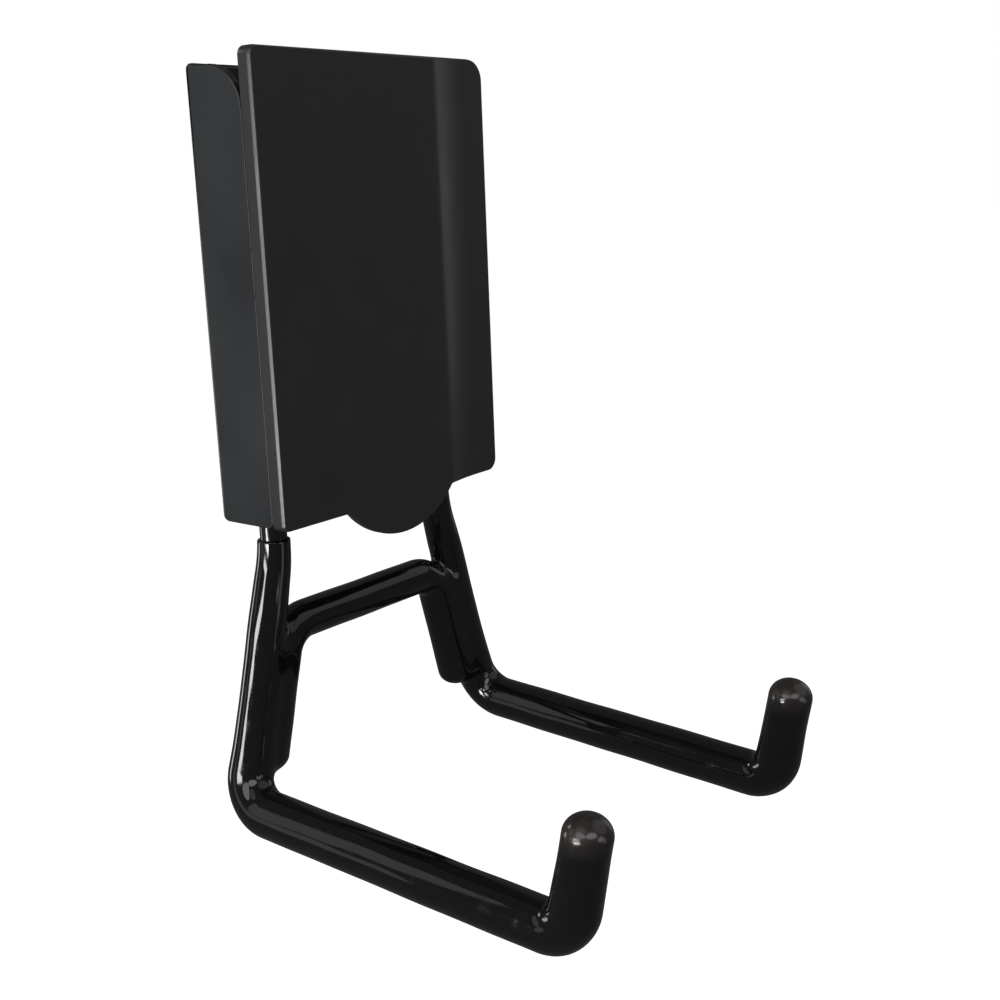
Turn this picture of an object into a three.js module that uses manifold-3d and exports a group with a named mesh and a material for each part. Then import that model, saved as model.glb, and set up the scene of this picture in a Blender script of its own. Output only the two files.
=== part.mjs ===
// Wall guitar hanger. Millimetres, +Z up.
//
// A folded steel channel screws to the wall. Two bent rods are welded to its back plate, come out of
// its open lower end, spread apart, turn forward at the elbows and end in upturned tips. A third rod,
// bent to an upside-down U, braces the two legs. Below the channel the whole frame is dipped in soft
// PVC. A moulded cover snaps on a cross rod near the top of the channel and swings out on it.
//
// The wall face of the back plate is the plane y = 0, the front is towards -Y, x = 0 is the plane of
// symmetry of the steelwork, and z = 0 is at half the height of the channel.

import * as THREE from "three";
import { mergeVertices } from "three/addons/utils/BufferGeometryUtils.js";
import Module from "manifold-3d";

// ---- driving dimensions ---------------------------------------------------------------------------

const GAP = 0.3; // clearance kept between two pieces that touch

// channel bracket
const SHEET = 1.6; // thickness of the steel sheet
const BRACKET_WIDTH = 61;
const BRACKET_HEIGHT = 78.4; // of the side walls
const BRACKET_DEPTH = 13.4; // from the wall to the front edges of the side walls
const FOLD_RADIUS = 0.9; // outside radius of the two tight folds
const INNER_FOLD_RADIUS = 0.3;
const FRONT_CORNER_RADIUS = 8; // top front corner of each side wall
const CORNER_RADIUS = 1.2; // top rear and bottom front corners
const REAR_CORNER_RADIUS = 2; // bottom rear corners
const PLATE_RISE = 0.4; // the back plate stands above the side walls by this much
const PLATE_RISE_END = 2.4; // from the wall to the small step down to the side walls
const SCREW_PITCH = 44; // height between the two wall screw holes
const SCREW_HOLE_RADIUS = 2.75;
const SCREW_SINK_RADIUS = 4.1; // countersink at the front of the back plate

// hinge
const HINGE_ROD_RADIUS = 1.5;
const HINGE_WELD_RADIUS = 2.5; // fillet where the rod meets a side wall
const CLIP_WIDTH = 6;
const CLIP_SPACING = 24; // between the middles of the two clips
const CLIP_OUTER_RADIUS = 3;
const CLIP_MOUTH = 2.5; // snap opening, less than the rod's diameter

// cover
const COVER_HEIGHT = 81;
const COVER_OVERHANG = 2.3; // how far the cover stands above the bracket
const COVER_FRONT = 16.4; // from the wall to the front face
const COVER_WALL = 1.5; // wall of the moulding
const CREASE_X = 14.6; // to the right of this line the face falls back
const CREASE_SLOPE = 0.22; // how steeply it starts to fall, as rise over run
const CREASE_RUN = 10.9; // the width over which the slope eases off
const CREASE_DROP = 1.4; // how far it has fallen back at the right edge
const TAB_CENTRE_X = 0.2;
const TAB_HALF_CHORD = 14.4;
const TAB_DEPTH = 6.6; // how far the finger tab hangs below the cover
const TAB_THICKNESS = 1.5;
const TAB_ROOT_RADIUS = 1.2; // fillets between the tab and the lower edge
const LIP_THICKNESS = 1; // locating lips that enter the bracket
const LIP_REACH = 3.4; // how far they enter it
const RIB_THICKNESS = 0.9;
const RIB_REACH = 1.2; // how far the ribs stand past the cover's rear plane
const GATE_MARK = { x: -8.6, z: 17.4, radius: 0.7, depth: 0.25 };

// rod frame
const ROD_RADIUS = 2.5;
const ROD_TOP = 20; // height of the rods' upper ends
const ROD_X = 22.5; // the two uprights stand at -ROD_X and +ROD_X
const KNEE_Z = -46.8; // height where the legs start to spread
const KNEE_BEND = 30;
const ELBOW_X = 34.5; // the two elbows are at -ELBOW_X and +ELBOW_X
const ELBOW_Z = -92.1;
const ELBOW_BEND = 6.9;
const ARM_LENGTH = 72.6; // from the elbow's corner point to the tip's
const ARM_DROP = 2; // degrees below level
const ARM_TOE_IN = 0.9; // how much closer to the middle an arm ends than it starts
const TIP_LENGTH = 21.5; // from the corner point to the top of the coat
const TIP_LEAN = 11; // degrees forward of upright
const TIP_TOE_IN = 0.4;
const TIP_BEND = 5.8;
const ELBOW_STANDOFF = 4.8; // from the wall to the middle of the rod at the elbow

// weld beads that hold the uprights to the back plate
const WELD_RADIUS = 1.2;
const WELD_LENGTH = 7;
const WELD_HEIGHTS = [ROD_TOP - 9, -6, -30];

// brace
const BRACE_Z = -61.1; // height of the crossbar
const BRACE_STANDOFF = 3.9; // from the wall to the middle of the brace
const BRACE_END_Z = -87.8; // lowest point of the coated ends
const BRACE_BEND = 6.6;

// PVC coat
const DIP_LINE_Z = -43.7; // the coat's upper edge
const COAT_AT_LINE = 0.65; // thickness of the coat at its upper edge
const COAT_ON_LEG = 1.1;
const COAT_ON_ARM = 1.9;
const COAT_AT_TIP = 1.65;
const COAT_ON_BRACE = 1.2;
const DOME_FLATTEN = 0.86; // height of a domed end as a share of its radius
const LIP_ROUNDING = 0.25; // at the upper edge
const ROD_END_INSET = 2.4; // from the top of the coat to the end of the rod inside it

// ---- places worked out from them --------------------------------------------------------------------

const halfWidth = BRACKET_WIDTH / 2;
const bracketTop = BRACKET_HEIGHT / 2;
const hinge = {
  y: -(BRACKET_DEPTH - FRONT_CORNER_RADIUS),
  z: bracketTop - FRONT_CORNER_RADIUS,
};
const coverTop = bracketTop + COVER_OVERHANG;
const coverBottom = coverTop - COVER_HEIGHT;
const coverRear = -(BRACKET_DEPTH + GAP);
const floorY = -(COVER_FRONT - COVER_WALL); // inner face of the cover's flat part
const rodY = -(SHEET + GAP + ROD_RADIUS); // the uprights lie along the back plate
const legSlope = (ELBOW_X - ROD_X) / (KNEE_Z - ELBOW_Z);
const legAngle = Math.atan(legSlope);
const dipDistance = ROD_TOP - DIP_LINE_Z; // along a side rod, from its upper end to the dip line

// ---- solids -----------------------------------------------------------------------------------------

const wasm = await Module();
wasm.setup();

/** A closed three.js geometry as a manifold solid. */
function solidOf(geometry) {
  const bare = geometry.clone();
  bare.deleteAttribute("normal");
  bare.deleteAttribute("uv");
  const merged = mergeVertices(bare, 1e-4);
  return new wasm.Manifold(
    new wasm.Mesh({
      numProp: 3,
      vertProperties: new Float32Array(merged.attributes.position.array),
      triVerts: new Uint32Array(merged.index.array),
    }),
  );
}

/** A manifold solid as a three.js geometry with flat faces. */
function geometryOf(solid) {
  const mesh = solid.getMesh();
  const indexed = new THREE.BufferGeometry();
  indexed.setAttribute("position", new THREE.BufferAttribute(new Float32Array(mesh.vertProperties), 3));
  indexed.setIndex(new THREE.BufferAttribute(new Uint32Array(mesh.triVerts), 1));
  const flat = indexed.toNonIndexed();
  flat.computeVertexNormals();
  return flat;
}

const X = new THREE.Vector3(1, 0, 0);
const Y = new THREE.Vector3(0, 1, 0);
const Z = new THREE.Vector3(0, 0, 1);

/** A shape extruded along the third of the given axes; its own x and y run along the first two. */
function prism(shape, depth, across, up, along, origin, curveSegments = 8) {
  const geometry = new THREE.ExtrudeGeometry(shape, { depth, bevelEnabled: false, curveSegments });
  geometry.applyMatrix4(new THREE.Matrix4().makeBasis(across, up, along).setPosition(origin));
  return solidOf(geometry);
}

/** A plan section (x, y) raised from zLow to zHigh. */
function planPrism(shape, zLow, zHigh) {
  return prism(shape, zHigh - zLow, X, Y, Z, new THREE.Vector3(0, 0, zLow));
}

/** A side profile (y, z) run from xLow to xHigh. */
function sidePrism(shape, xLow, xHigh) {
  return prism(shape, xHigh - xLow, Y, Z, X, new THREE.Vector3(xLow, 0, 0));
}

/** A front outline (x, z) run from y = yRear forwards, towards -Y. */
function frontPrism(shape, yRear, depth, curveSegments = 10) {
  return prism(shape, depth, X, Z, Y.clone().negate(), new THREE.Vector3(0, yRear, 0), curveSegments);
}

/** A straight-sided outline whose corners are rounded by the radii given with them. */
function roundedOutline(corners) {
  const shape = new THREE.Shape();
  corners.forEach(([x, y, radius], i) => {
    const here = new THREE.Vector2(x, y);
    const before = new THREE.Vector2(...corners.at(i - 1));
    const after = new THREE.Vector2(...corners[(i + 1) % corners.length]);
    const back = before.sub(here).normalize();
    const forth = after.sub(here).normalize();
    const half = Math.acos(THREE.MathUtils.clamp(back.dot(forth), -1, 1)) / 2;
    const reach = radius / Math.tan(half);
    const start = here.clone().addScaledVector(back, reach);
    const end = here.clone().addScaledVector(forth, reach);
    if (i === 0) {
      shape.moveTo(start.x, start.y);
    } else {
      shape.lineTo(start.x, start.y);
    }
    if (radius > 0) {
      const centre = back.clone().add(forth).normalize().multiplyScalar(radius / Math.sin(half)).add(here);
      const from = start.clone().sub(centre).angle();
      const to = end.clone().sub(centre).angle();
      const clockwise = back.cross(forth) > 0;
      shape.absarc(centre.x, centre.y, radius, from, to, clockwise);
    }
  });
  shape.closePath();
  return shape;
}

/** A rectangle with square corners, as an outline. */
function rectangle(xLow, yLow, xHigh, yHigh) {
  return roundedOutline([
    [xLow, yLow, 0],
    [xHigh, yLow, 0],
    [xHigh, yHigh, 0],
    [xLow, yHigh, 0],
  ]);
}

// ---- bent rods and their coats ----------------------------------------------------------------------

/** A path of straight runs joined by round bends at every inner corner point. */
function bentPath(corners, bends) {
  const path = new THREE.CurvePath();
  let from = corners[0];
  bends.forEach((radius, i) => {
    const corner = corners[i + 1];
    const into = corner.clone().sub(corners[i]).normalize();
    const outOf = corners[i + 2].clone().sub(corner).normalize();
    const turn = into.angleTo(outOf);
    const reach = radius * Math.tan(turn / 2);
    const handle = (4 / 3) * Math.tan(turn / 4) * radius;
    const start = corner.clone().addScaledVector(into, -reach);
    const end = corner.clone().addScaledVector(outOf, reach);
    path.add(new THREE.LineCurve3(from, start));
    path.add(
      new THREE.CubicBezierCurve3(
        start,
        start.clone().addScaledVector(into, handle),
        end.clone().addScaledVector(outOf, -handle),
        end,
      ),
    );
    from = end;
  });
  path.add(new THREE.LineCurve3(from, corners.at(-1)));
  return path;
}

/** Distances along a path at which to set a ring: close together in its bends. */
function ringDistances(path, straightStep, stepsPerQuarterTurn) {
  const distances = [0];
  let begun = 0;
  for (const curve of path.curves) {
    const length = curve.getLength();
    const turn = curve.getTangent(0).angleTo(curve.getTangent(1));
    const steps = curve.isLineCurve3
      ? Math.max(1, Math.ceil(length / straightStep))
      : Math.max(3, Math.ceil((turn / (Math.PI / 2)) * stepsPerQuarterTurn));
    for (let i = 1; i <= steps; i++) {
      distances.push(begun + (length * i) / steps);
    }
    begun += length;
  }
  return distances;
}

/** A round bar of changing radius along a path. Each ring is {at, radius}; radius 0 makes a point. */
function sweptBar(path, rings, sides) {
  const length = path.getLength();
  const positions = [];
  const index = [];
  const starts = [];
  let normal = null;
  for (const { at, radius } of rings) {
    const share = THREE.MathUtils.clamp(at / length, 0, 1);
    const centre = path.getPoint(share);
    const tangent = path.getTangent(share);
    if (at > length) {
      centre.addScaledVector(tangent, at - length);
    }
    if (at < 0) {
      centre.addScaledVector(tangent, at);
    }
    if (normal === null) {
      normal = Math.abs(tangent.x) < 0.9 ? X.clone() : Y.clone();
    }
    normal = normal.clone().addScaledVector(tangent, -normal.dot(tangent)).normalize();
    const side = tangent.clone().cross(normal);
    starts.push(positions.length / 3);
    const count = radius > 0 ? sides : 1;
    for (let i = 0; i < count; i++) {
      const angle = (2 * Math.PI * i) / sides;
      const point = centre
        .clone()
        .addScaledVector(normal, radius * Math.cos(angle))
        .addScaledVector(side, radius * Math.sin(angle));
      positions.push(point.x, point.y, point.z);
    }
  }
  for (let r = 0; r + 1 < rings.length; r++) {
    const lowIsPoint = rings[r].radius === 0;
    const highIsPoint = rings[r + 1].radius === 0;
    for (let i = 0; i < sides; i++) {
      const next = (i + 1) % sides;
      const low = starts[r] + (lowIsPoint ? 0 : i);
      const lowNext = starts[r] + (lowIsPoint ? 0 : next);
      const high = starts[r + 1] + (highIsPoint ? 0 : i);
      const highNext = starts[r + 1] + (highIsPoint ? 0 : next);
      if (!lowIsPoint) {
        index.push(low, lowNext, high);
      }
      if (!highIsPoint) {
        index.push(lowNext, highNext, high);
      }
    }
  }
  const geometry = new THREE.BufferGeometry();
  geometry.setAttribute("position", new THREE.Float32BufferAttribute(positions, 3));
  geometry.setIndex(index);
  return solidOf(geometry);
}

/** Rings that close a bar with a flat, slightly chamfered end at each end. */
function plainRings(distances, radius, chamfer) {
  const start = distances[0];
  const end = distances.at(-1);
  const inner = distances.filter((at) => at > start + chamfer && at < end - chamfer);
  return [
    { at: start, radius: 0 },
    { at: start, radius: radius - chamfer },
    ...[start + chamfer, ...inner, end - chamfer].map((at) => ({ at, radius })),
    { at: end, radius: radius - chamfer },
    { at: end, radius: 0 },
  ];
}

/** Rings of a coat's skin: its lower end is domed, and so is its upper end unless it is cut flat. */
function coatRings(distances, radiusAt, flatStart) {
  const start = distances[0];
  const end = distances.at(-1);
  const steps = 5;
  const dome = [];
  for (let i = 0; i <= steps; i++) {
    const angle = (Math.PI / 2) * (i / steps);
    dome.push({ rise: DOME_FLATTEN * (1 - Math.cos(angle)), share: Math.sin(angle) });
  }
  const first = radiusAt(start);
  const last = radiusAt(end);
  const upper = flatStart
    ? [
        { at: start, radius: 0 },
        { at: start, radius: first - LIP_ROUNDING },
        { at: start + LIP_ROUNDING, radius: first },
      ]
    : dome.map(({ rise, share }) => ({ at: start + rise * first, radius: share * first }));
  const lower = dome.map(({ rise, share }) => ({ at: end - rise * last, radius: share * last })).reverse();
  const middle = distances
    .filter((at) => at > upper.at(-1).at + 0.5 && at < lower[0].at - 0.5)
    .map((at) => ({ at, radius: radiusAt(at) }));
  return [...upper, ...middle, ...lower];
}

/** The middle line of a side rod, from its upper end down its leg and along its arm to its tip. */
function sideRodPath(side, tipLength) {
  const drop = THREE.MathUtils.degToRad(ARM_DROP);
  const lean = THREE.MathUtils.degToRad(TIP_LEAN);
  const armEndX = ELBOW_X - ARM_TOE_IN;
  const armEndY = -ELBOW_STANDOFF - ARM_LENGTH * Math.cos(drop);
  const armEndZ = ELBOW_Z - ARM_LENGTH * Math.sin(drop);
  const tipY = armEndY - tipLength * Math.sin(lean);
  const tipZ = armEndZ + tipLength * Math.cos(lean);
  return bentPath(
    [
      new THREE.Vector3(side * ROD_X, rodY, ROD_TOP),
      new THREE.Vector3(side * ROD_X, rodY, KNEE_Z),
      new THREE.Vector3(side * ELBOW_X, -ELBOW_STANDOFF, ELBOW_Z),
      new THREE.Vector3(side * armEndX, armEndY, armEndZ),
      new THREE.Vector3(side * (armEndX - TIP_TOE_IN), tipY, tipZ),
    ],
    [KNEE_BEND, ELBOW_BEND, TIP_BEND],
  );
}

/** A side rod: one steel bar with its weld beads along the back plate. */
function sideRod(side) {
  const path = sideRodPath(side, TIP_LENGTH - ROD_END_INSET);
  let rod = sweptBar(path, plainRings(ringDistances(path, 60, 9), ROD_RADIUS, 0.4), 16);
  for (const height of WELD_HEIGHTS) {
    for (const hand of [-1, 1]) {
      const bead = new THREE.CapsuleGeometry(WELD_RADIUS, WELD_LENGTH, 2, 8);
      bead.rotateX(Math.PI / 2);
      bead.translate(side * ROD_X + hand * ROD_RADIUS, -(SHEET + GAP + WELD_RADIUS), height);
      rod = rod.add(solidOf(bead));
    }
  }
  return rod;
}

/** The bore that a side rod leaves in its coat: the rod with clearance all round. */
function sideBore(side) {
  const path = sideRodPath(side, TIP_LENGTH - ROD_END_INSET + GAP);
  const distances = ringDistances(path, 60, 9);
  const first = dipDistance - 4;
  const below = [first, ...distances.filter((at) => at > first)];
  return sweptBar(path, plainRings(below, ROD_RADIUS + GAP, 0.4), 12);
}

/** Coat radius along a side rod: thin at the dip line, thicker down the leg, thickest on the arm. */
function sideCoatRadius(at) {
  const { smoothstep, lerp } = THREE.MathUtils;
  const legLength = (DIP_LINE_Z - ELBOW_Z) / Math.cos(legAngle);
  const down = (at - dipDistance) / legLength;
  const out = (at - dipDistance - legLength) / ARM_LENGTH;
  const onLeg = lerp(COAT_AT_LINE, COAT_ON_LEG, smoothstep(down, 0, 0.3));
  const onArm = lerp(COAT_ON_ARM, COAT_AT_TIP, smoothstep(out, 0.95, 1.15));
  return ROD_RADIUS + lerp(onLeg, onArm, smoothstep(down, 0.6, 1.05));
}

/** The outside of a side coat, grown by a clearance. */
function sideSkin(side, grow) {
  const path = sideRodPath(side, TIP_LENGTH);
  const below = ringDistances(path, 12, 10).filter((at) => at > dipDistance);
  const radiusAt = (at) => sideCoatRadius(at) + grow;
  return sweptBar(path, coatRings([dipDistance, ...below], radiusAt, true), 20);
}

/** The middle line of the brace, from its lower end on the left to its lower end on the right. */
function bracePath(endInset) {
  const offset = 2 * ROD_RADIUS + GAP;
  const start = { x: ROD_X - offset * Math.cos(legAngle), z: KNEE_Z - offset * Math.sin(legAngle) };
  const endZ = BRACE_END_Z + endInset;
  const point = (side, z) => {
    const x = start.x + legSlope * (start.z - z);
    return new THREE.Vector3(side * x, -BRACE_STANDOFF, z);
  };
  return bentPath([point(-1, endZ), point(-1, BRACE_Z), point(1, BRACE_Z), point(1, endZ)], [
    BRACE_BEND,
    BRACE_BEND,
  ]);
}

/** A plain bar along the brace. */
function braceBar(radius, endInset, sides) {
  const path = bracePath(endInset);
  return sweptBar(path, plainRings(ringDistances(path, 40, 9), radius, 0.4), sides);
}

/** The outside of the brace's coat, with domed ends. */
function braceSkin() {
  const path = bracePath(0);
  const radiusAt = () => ROD_RADIUS + COAT_ON_BRACE;
  return sweptBar(path, coatRings(ringDistances(path, 25, 9), radiusAt, false), 20);
}

// ---- bracket ----------------------------------------------------------------------------------------

/** The channel: a folded section cut to the side walls' profile, with two countersunk screw holes. */
function bracket() {
  const inside = halfWidth - SHEET;
  const plateTop = bracketTop + PLATE_RISE;
  const channel = planPrism(
    roundedOutline([
      [-halfWidth, -BRACKET_DEPTH, 0],
      [-inside, -BRACKET_DEPTH, 0],
      [-inside, -SHEET, INNER_FOLD_RADIUS],
      [inside, -SHEET, INNER_FOLD_RADIUS],
      [inside, -BRACKET_DEPTH, 0],
      [halfWidth, -BRACKET_DEPTH, 0],
      [halfWidth, 0, FOLD_RADIUS],
      [-halfWidth, 0, FOLD_RADIUS],
    ]),
    -bracketTop - 1,
    plateTop + 1,
  );
  const profile = sidePrism(
    roundedOutline([
      [-BRACKET_DEPTH, -bracketTop, CORNER_RADIUS],
      [0, -bracketTop, REAR_CORNER_RADIUS],
      [0, plateTop, CORNER_RADIUS],
      [-PLATE_RISE_END, plateTop, 0.15],
      [-PLATE_RISE_END, bracketTop, 0.15],
      [-BRACKET_DEPTH, bracketTop, FRONT_CORNER_RADIUS],
    ]),
    -halfWidth - 1,
    halfWidth + 1,
  );
  let folded = channel.intersect(profile);
  for (const z of [-SCREW_PITCH / 2, SCREW_PITCH / 2]) {
    folded = folded.subtract(screwHole(z));
  }
  return folded;
}

/** A cutter for one countersunk wall screw hole. */
function screwHole(z) {
  const sinkDepth = SCREW_SINK_RADIUS - SCREW_HOLE_RADIUS;
  const profile = [
    [0, -1],
    [SCREW_HOLE_RADIUS, -1],
    [SCREW_HOLE_RADIUS, SHEET - sinkDepth],
    [SCREW_SINK_RADIUS, SHEET],
    [SCREW_SINK_RADIUS, SHEET + 1],
    [0, SHEET + 1],
  ].map(([radius, depth]) => new THREE.Vector2(radius, depth));
  const cutter = new THREE.LatheGeometry(profile, 28);
  cutter.rotateX(Math.PI);
  cutter.translate(0, 0, z);
  return solidOf(cutter);
}

// ---- hinge rod --------------------------------------------------------------------------------------

/** The cross rod, with the weld fillet at each end that holds it between the side walls. */
function hingeRod() {
  const reach = halfWidth - SHEET - GAP;
  const weld = HINGE_WELD_RADIUS - HINGE_ROD_RADIUS;
  const fillet = [];
  for (let i = 0; i <= 4; i++) {
    const angle = (Math.PI / 2) * (i / 4);
    fillet.push([HINGE_WELD_RADIUS - weld * Math.sin(angle), reach - weld * (1 - Math.cos(angle))]);
  }
  const half = [[0, reach], ...fillet];
  const mirrored = half.map(([radius, x]) => [radius, -x]).reverse();
  const profile = [...half, ...mirrored].reverse().map(([radius, x]) => new THREE.Vector2(radius, x));
  const rod = new THREE.LatheGeometry(profile, 20);
  rod.rotateZ(-Math.PI / 2);
  rod.translate(0, hinge.y, hinge.z);
  return solidOf(rod);
}

// ---- cover ------------------------------------------------------------------------------------------

/** Draws a plan section on from its flat part: over the crease, then easing off to the right edge. */
function fallAway(shape, face, right) {
  const middle = CREASE_RUN / 2;
  const bend = face + CREASE_SLOPE * middle;
  const endSlope = (CREASE_DROP - CREASE_SLOPE * middle) / (halfWidth - CREASE_X - middle);
  shape.lineTo(CREASE_X, face);
  shape.quadraticCurveTo(CREASE_X + middle, bend, CREASE_X + CREASE_RUN, bend + endSlope * middle);
  shape.lineTo(right, face + CREASE_DROP);
}

/** Plan section of the cover's outside: flat on the left, falling back past the crease. */
function coverPlan() {
  const right = halfWidth;
  const front = -COVER_FRONT;
  const edge = 0.5;
  const shape = new THREE.Shape();
  shape.moveTo(-right, coverRear);
  shape.lineTo(-right, front + edge);
  shape.quadraticCurveTo(-right, front, -right + edge, front);
  fallAway(shape, front, right);
  shape.lineTo(right, coverRear);
  shape.closePath();
  return shape;
}

/** Plan section of the hollow behind the cover's face. */
function hollowPlan() {
  const right = halfWidth - COVER_WALL;
  const shape = new THREE.Shape();
  shape.moveTo(-right, coverRear + 1);
  shape.lineTo(-right, floorY);
  fallAway(shape, floorY, right);
  shape.lineTo(right, coverRear + 1);
  shape.closePath();
  return shape;
}

/** The half-round finger tab with the fillets at its root, as a front outline. */
function tabOutline() {
  const radius = (TAB_HALF_CHORD ** 2 + TAB_DEPTH ** 2) / (2 * TAB_DEPTH);
  const centre = new THREE.Vector2(TAB_CENTRE_X, coverBottom - TAB_DEPTH + radius);
  const root = TAB_ROOT_RADIUS;
  const filletZ = coverBottom - root;
  const filletX = Math.sqrt((radius + root) ** 2 - (centre.y - filletZ) ** 2);
  const touch = Math.atan2(filletZ - centre.y, filletX);
  const shape = new THREE.Shape();
  shape.moveTo(centre.x - filletX, coverBottom + 1);
  shape.lineTo(centre.x - filletX, coverBottom);
  shape.absarc(centre.x - filletX, filletZ, root, Math.PI / 2, -touch, true);
  shape.absarc(centre.x, centre.y, radius, Math.PI - touch, touch, false);
  shape.absarc(centre.x + filletX, filletZ, root, Math.PI + touch, Math.PI / 2, true);
  shape.lineTo(centre.x + filletX, coverBottom + 1);
  shape.closePath();
  return shape;
}

/** A snap clip that grips the hinge rod, with the arm that carries it. */
function clip(x) {
  const inner = HINGE_ROD_RADIUS + GAP + 0.05;
  const mouth = Math.asin(CLIP_MOUTH / 2 / inner);
  const outer = CLIP_OUTER_RADIUS;
  const shape = new THREE.Shape();
  shape.moveTo(floorY - 0.5, hinge.z - outer);
  shape.lineTo(hinge.y, hinge.z - outer);
  shape.absarc(hinge.y, hinge.z, outer, -Math.PI / 2, -mouth, false);
  shape.absarc(hinge.y, hinge.z, inner, -mouth, mouth, true);
  shape.absarc(hinge.y, hinge.z, outer, mouth, Math.PI / 2, false);
  shape.lineTo(floorY - 0.5, hinge.z + outer);
  shape.closePath();
  return sidePrism(shape, x - CLIP_WIDTH / 2, x + CLIP_WIDTH / 2);
}

/** The stiffening ribs behind the face. */
function ribs() {
  const reach = coverRear + RIB_REACH;
  const half = RIB_THICKNESS / 2;
  const side = halfWidth - COVER_WALL - 0.9;
  const pieces = [-9, 9].map((x) =>
    planPrism(rectangle(x - half, floorY - 0.4, x + half, reach), coverBottom + 1, hinge.z - 2),
  );
  for (const z of [-26, 0, 22]) {
    pieces.push(planPrism(rectangle(-side, floorY - 0.4, CREASE_X, reach), z - half, z + half));
  }
  return pieces;
}

/** The two lips that slide in between the side walls and centre the closed cover. */
function lips() {
  const outerX = halfWidth - SHEET - GAP;
  const tipY = coverRear + LIP_REACH;
  const lip = (rootY, x) => {
    const profile = roundedOutline([
      [rootY, coverBottom + 2, 0],
      [tipY, coverBottom + 4, 1.5],
      [tipY, hinge.z - 11, 1.5],
      [rootY, hinge.z - 7, 0],
    ]);
    return sidePrism(profile, x, x + LIP_THICKNESS);
  };
  return [lip(floorY - 0.2, -outerX), lip(floorY + CREASE_DROP - 0.3, outerX - LIP_THICKNESS)];
}

/** The moulded cover. */
function cover() {
  const face = frontPrism(
    roundedOutline([
      [-halfWidth, coverBottom, 1],
      [halfWidth, coverBottom, 2.4],
      [halfWidth, coverTop, 4],
      [-halfWidth, coverTop, 1.6],
    ]),
    coverRear + 1,
    COVER_FRONT,
  );
  const hollow = frontPrism(
    roundedOutline([
      [-halfWidth + COVER_WALL, coverBottom + COVER_WALL, 0.5],
      [halfWidth - COVER_WALL, coverBottom + COVER_WALL, 1.2],
      [halfWidth - COVER_WALL, coverTop - COVER_WALL, 2.6],
      [-halfWidth + COVER_WALL, coverTop - COVER_WALL, 0.6],
    ]),
    coverRear + 1,
    COVER_FRONT,
  );
  const shell = planPrism(coverPlan(), coverBottom - 1, coverTop + 1).intersect(face);
  const inside = planPrism(hollowPlan(), coverBottom - 1, coverTop + 1).intersect(hollow);
  let moulding = shell.subtract(inside);
  moulding = moulding.add(frontPrism(tabOutline(), -COVER_FRONT + TAB_THICKNESS, TAB_THICKNESS, 16));
  for (const piece of [...ribs(), ...lips(), clip(-CLIP_SPACING / 2), clip(CLIP_SPACING / 2)]) {
    moulding = moulding.add(piece);
  }
  const mark = new THREE.CylinderGeometry(GATE_MARK.radius, GATE_MARK.radius, 2 * GATE_MARK.depth, 16);
  mark.translate(GATE_MARK.x, -COVER_FRONT, GATE_MARK.z);
  return moulding.subtract(solidOf(mark));
}

// ---- the assembly -----------------------------------------------------------------------------------

const finishes = {
  powderCoat: { color: 0x24272a, roughness: 0.45, metalness: 0.3 },
  mouldedPlastic: { color: 0x20201f, roughness: 0.5, metalness: 0 },
  dippedPvc: { color: 0x08080a, roughness: 0.08, metalness: 0 },
};

const group = new THREE.Group();

/** Adds one named piece to the assembly. */
function place(name, solid, finish) {
  const mesh = new THREE.Mesh(geometryOf(solid), new THREE.MeshStandardMaterial(finishes[finish]));
  mesh.name = name;
  group.add(mesh);
}

const braceBore = braceBar(ROD_RADIUS + GAP, 1.1, 12);
place("wall_bracket", bracket(), "powderCoat");
place("hinge_rod", hingeRod(), "powderCoat");
place("front_cover", cover(), "mouldedPlastic");
place("brace_rod", braceBar(ROD_RADIUS, 1.4, 16), "powderCoat");

let braceCoat = braceSkin().subtract(braceBore);
for (const [name, side] of [
  ["left", -1],
  ["right", 1],
]) {
  place(name + "_rod", sideRod(side), "powderCoat");
  const bore = sideBore(side);
  place(name + "_arm_coat", sideSkin(side, 0).subtract(bore).subtract(braceBore), "dippedPvc");
  braceCoat = braceCoat.subtract(sideSkin(side, GAP));
}
place("brace_coat", braceCoat, "dippedPvc");

export default group;
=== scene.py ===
"""Wall guitar hanger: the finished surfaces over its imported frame.

The hanger is a folded steel channel that screws to the wall, a hinged snap cover over the screws, and a
frame of bent rod that is dipped in glossy black PVC. Sizes in this file are in millimetres. A mesh is
scaled to metres when it becomes an object.
"""

import logging
import math
from collections.abc import Callable, Sequence
from dataclasses import dataclass, field
from enum import Enum

import bmesh
import bpy
import numpy as np
from mathutils import Matrix, Quaternion, Vector


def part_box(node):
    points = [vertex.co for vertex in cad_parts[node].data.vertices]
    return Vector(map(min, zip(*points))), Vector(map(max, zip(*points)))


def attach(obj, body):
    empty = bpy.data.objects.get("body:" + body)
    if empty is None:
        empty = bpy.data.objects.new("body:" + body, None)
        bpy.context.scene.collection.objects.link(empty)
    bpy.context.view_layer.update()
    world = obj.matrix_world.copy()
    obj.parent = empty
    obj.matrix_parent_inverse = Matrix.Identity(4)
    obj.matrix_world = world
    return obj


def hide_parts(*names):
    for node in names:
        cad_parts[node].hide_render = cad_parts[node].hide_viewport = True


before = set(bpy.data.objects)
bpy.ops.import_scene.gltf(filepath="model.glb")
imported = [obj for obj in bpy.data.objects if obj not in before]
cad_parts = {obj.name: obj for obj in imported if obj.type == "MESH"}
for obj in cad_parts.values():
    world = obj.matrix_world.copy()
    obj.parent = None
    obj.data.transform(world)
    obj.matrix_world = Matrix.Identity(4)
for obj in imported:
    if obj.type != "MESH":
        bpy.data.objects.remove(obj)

LOG = logging.getLogger("wall_guitar_hanger")

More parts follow.
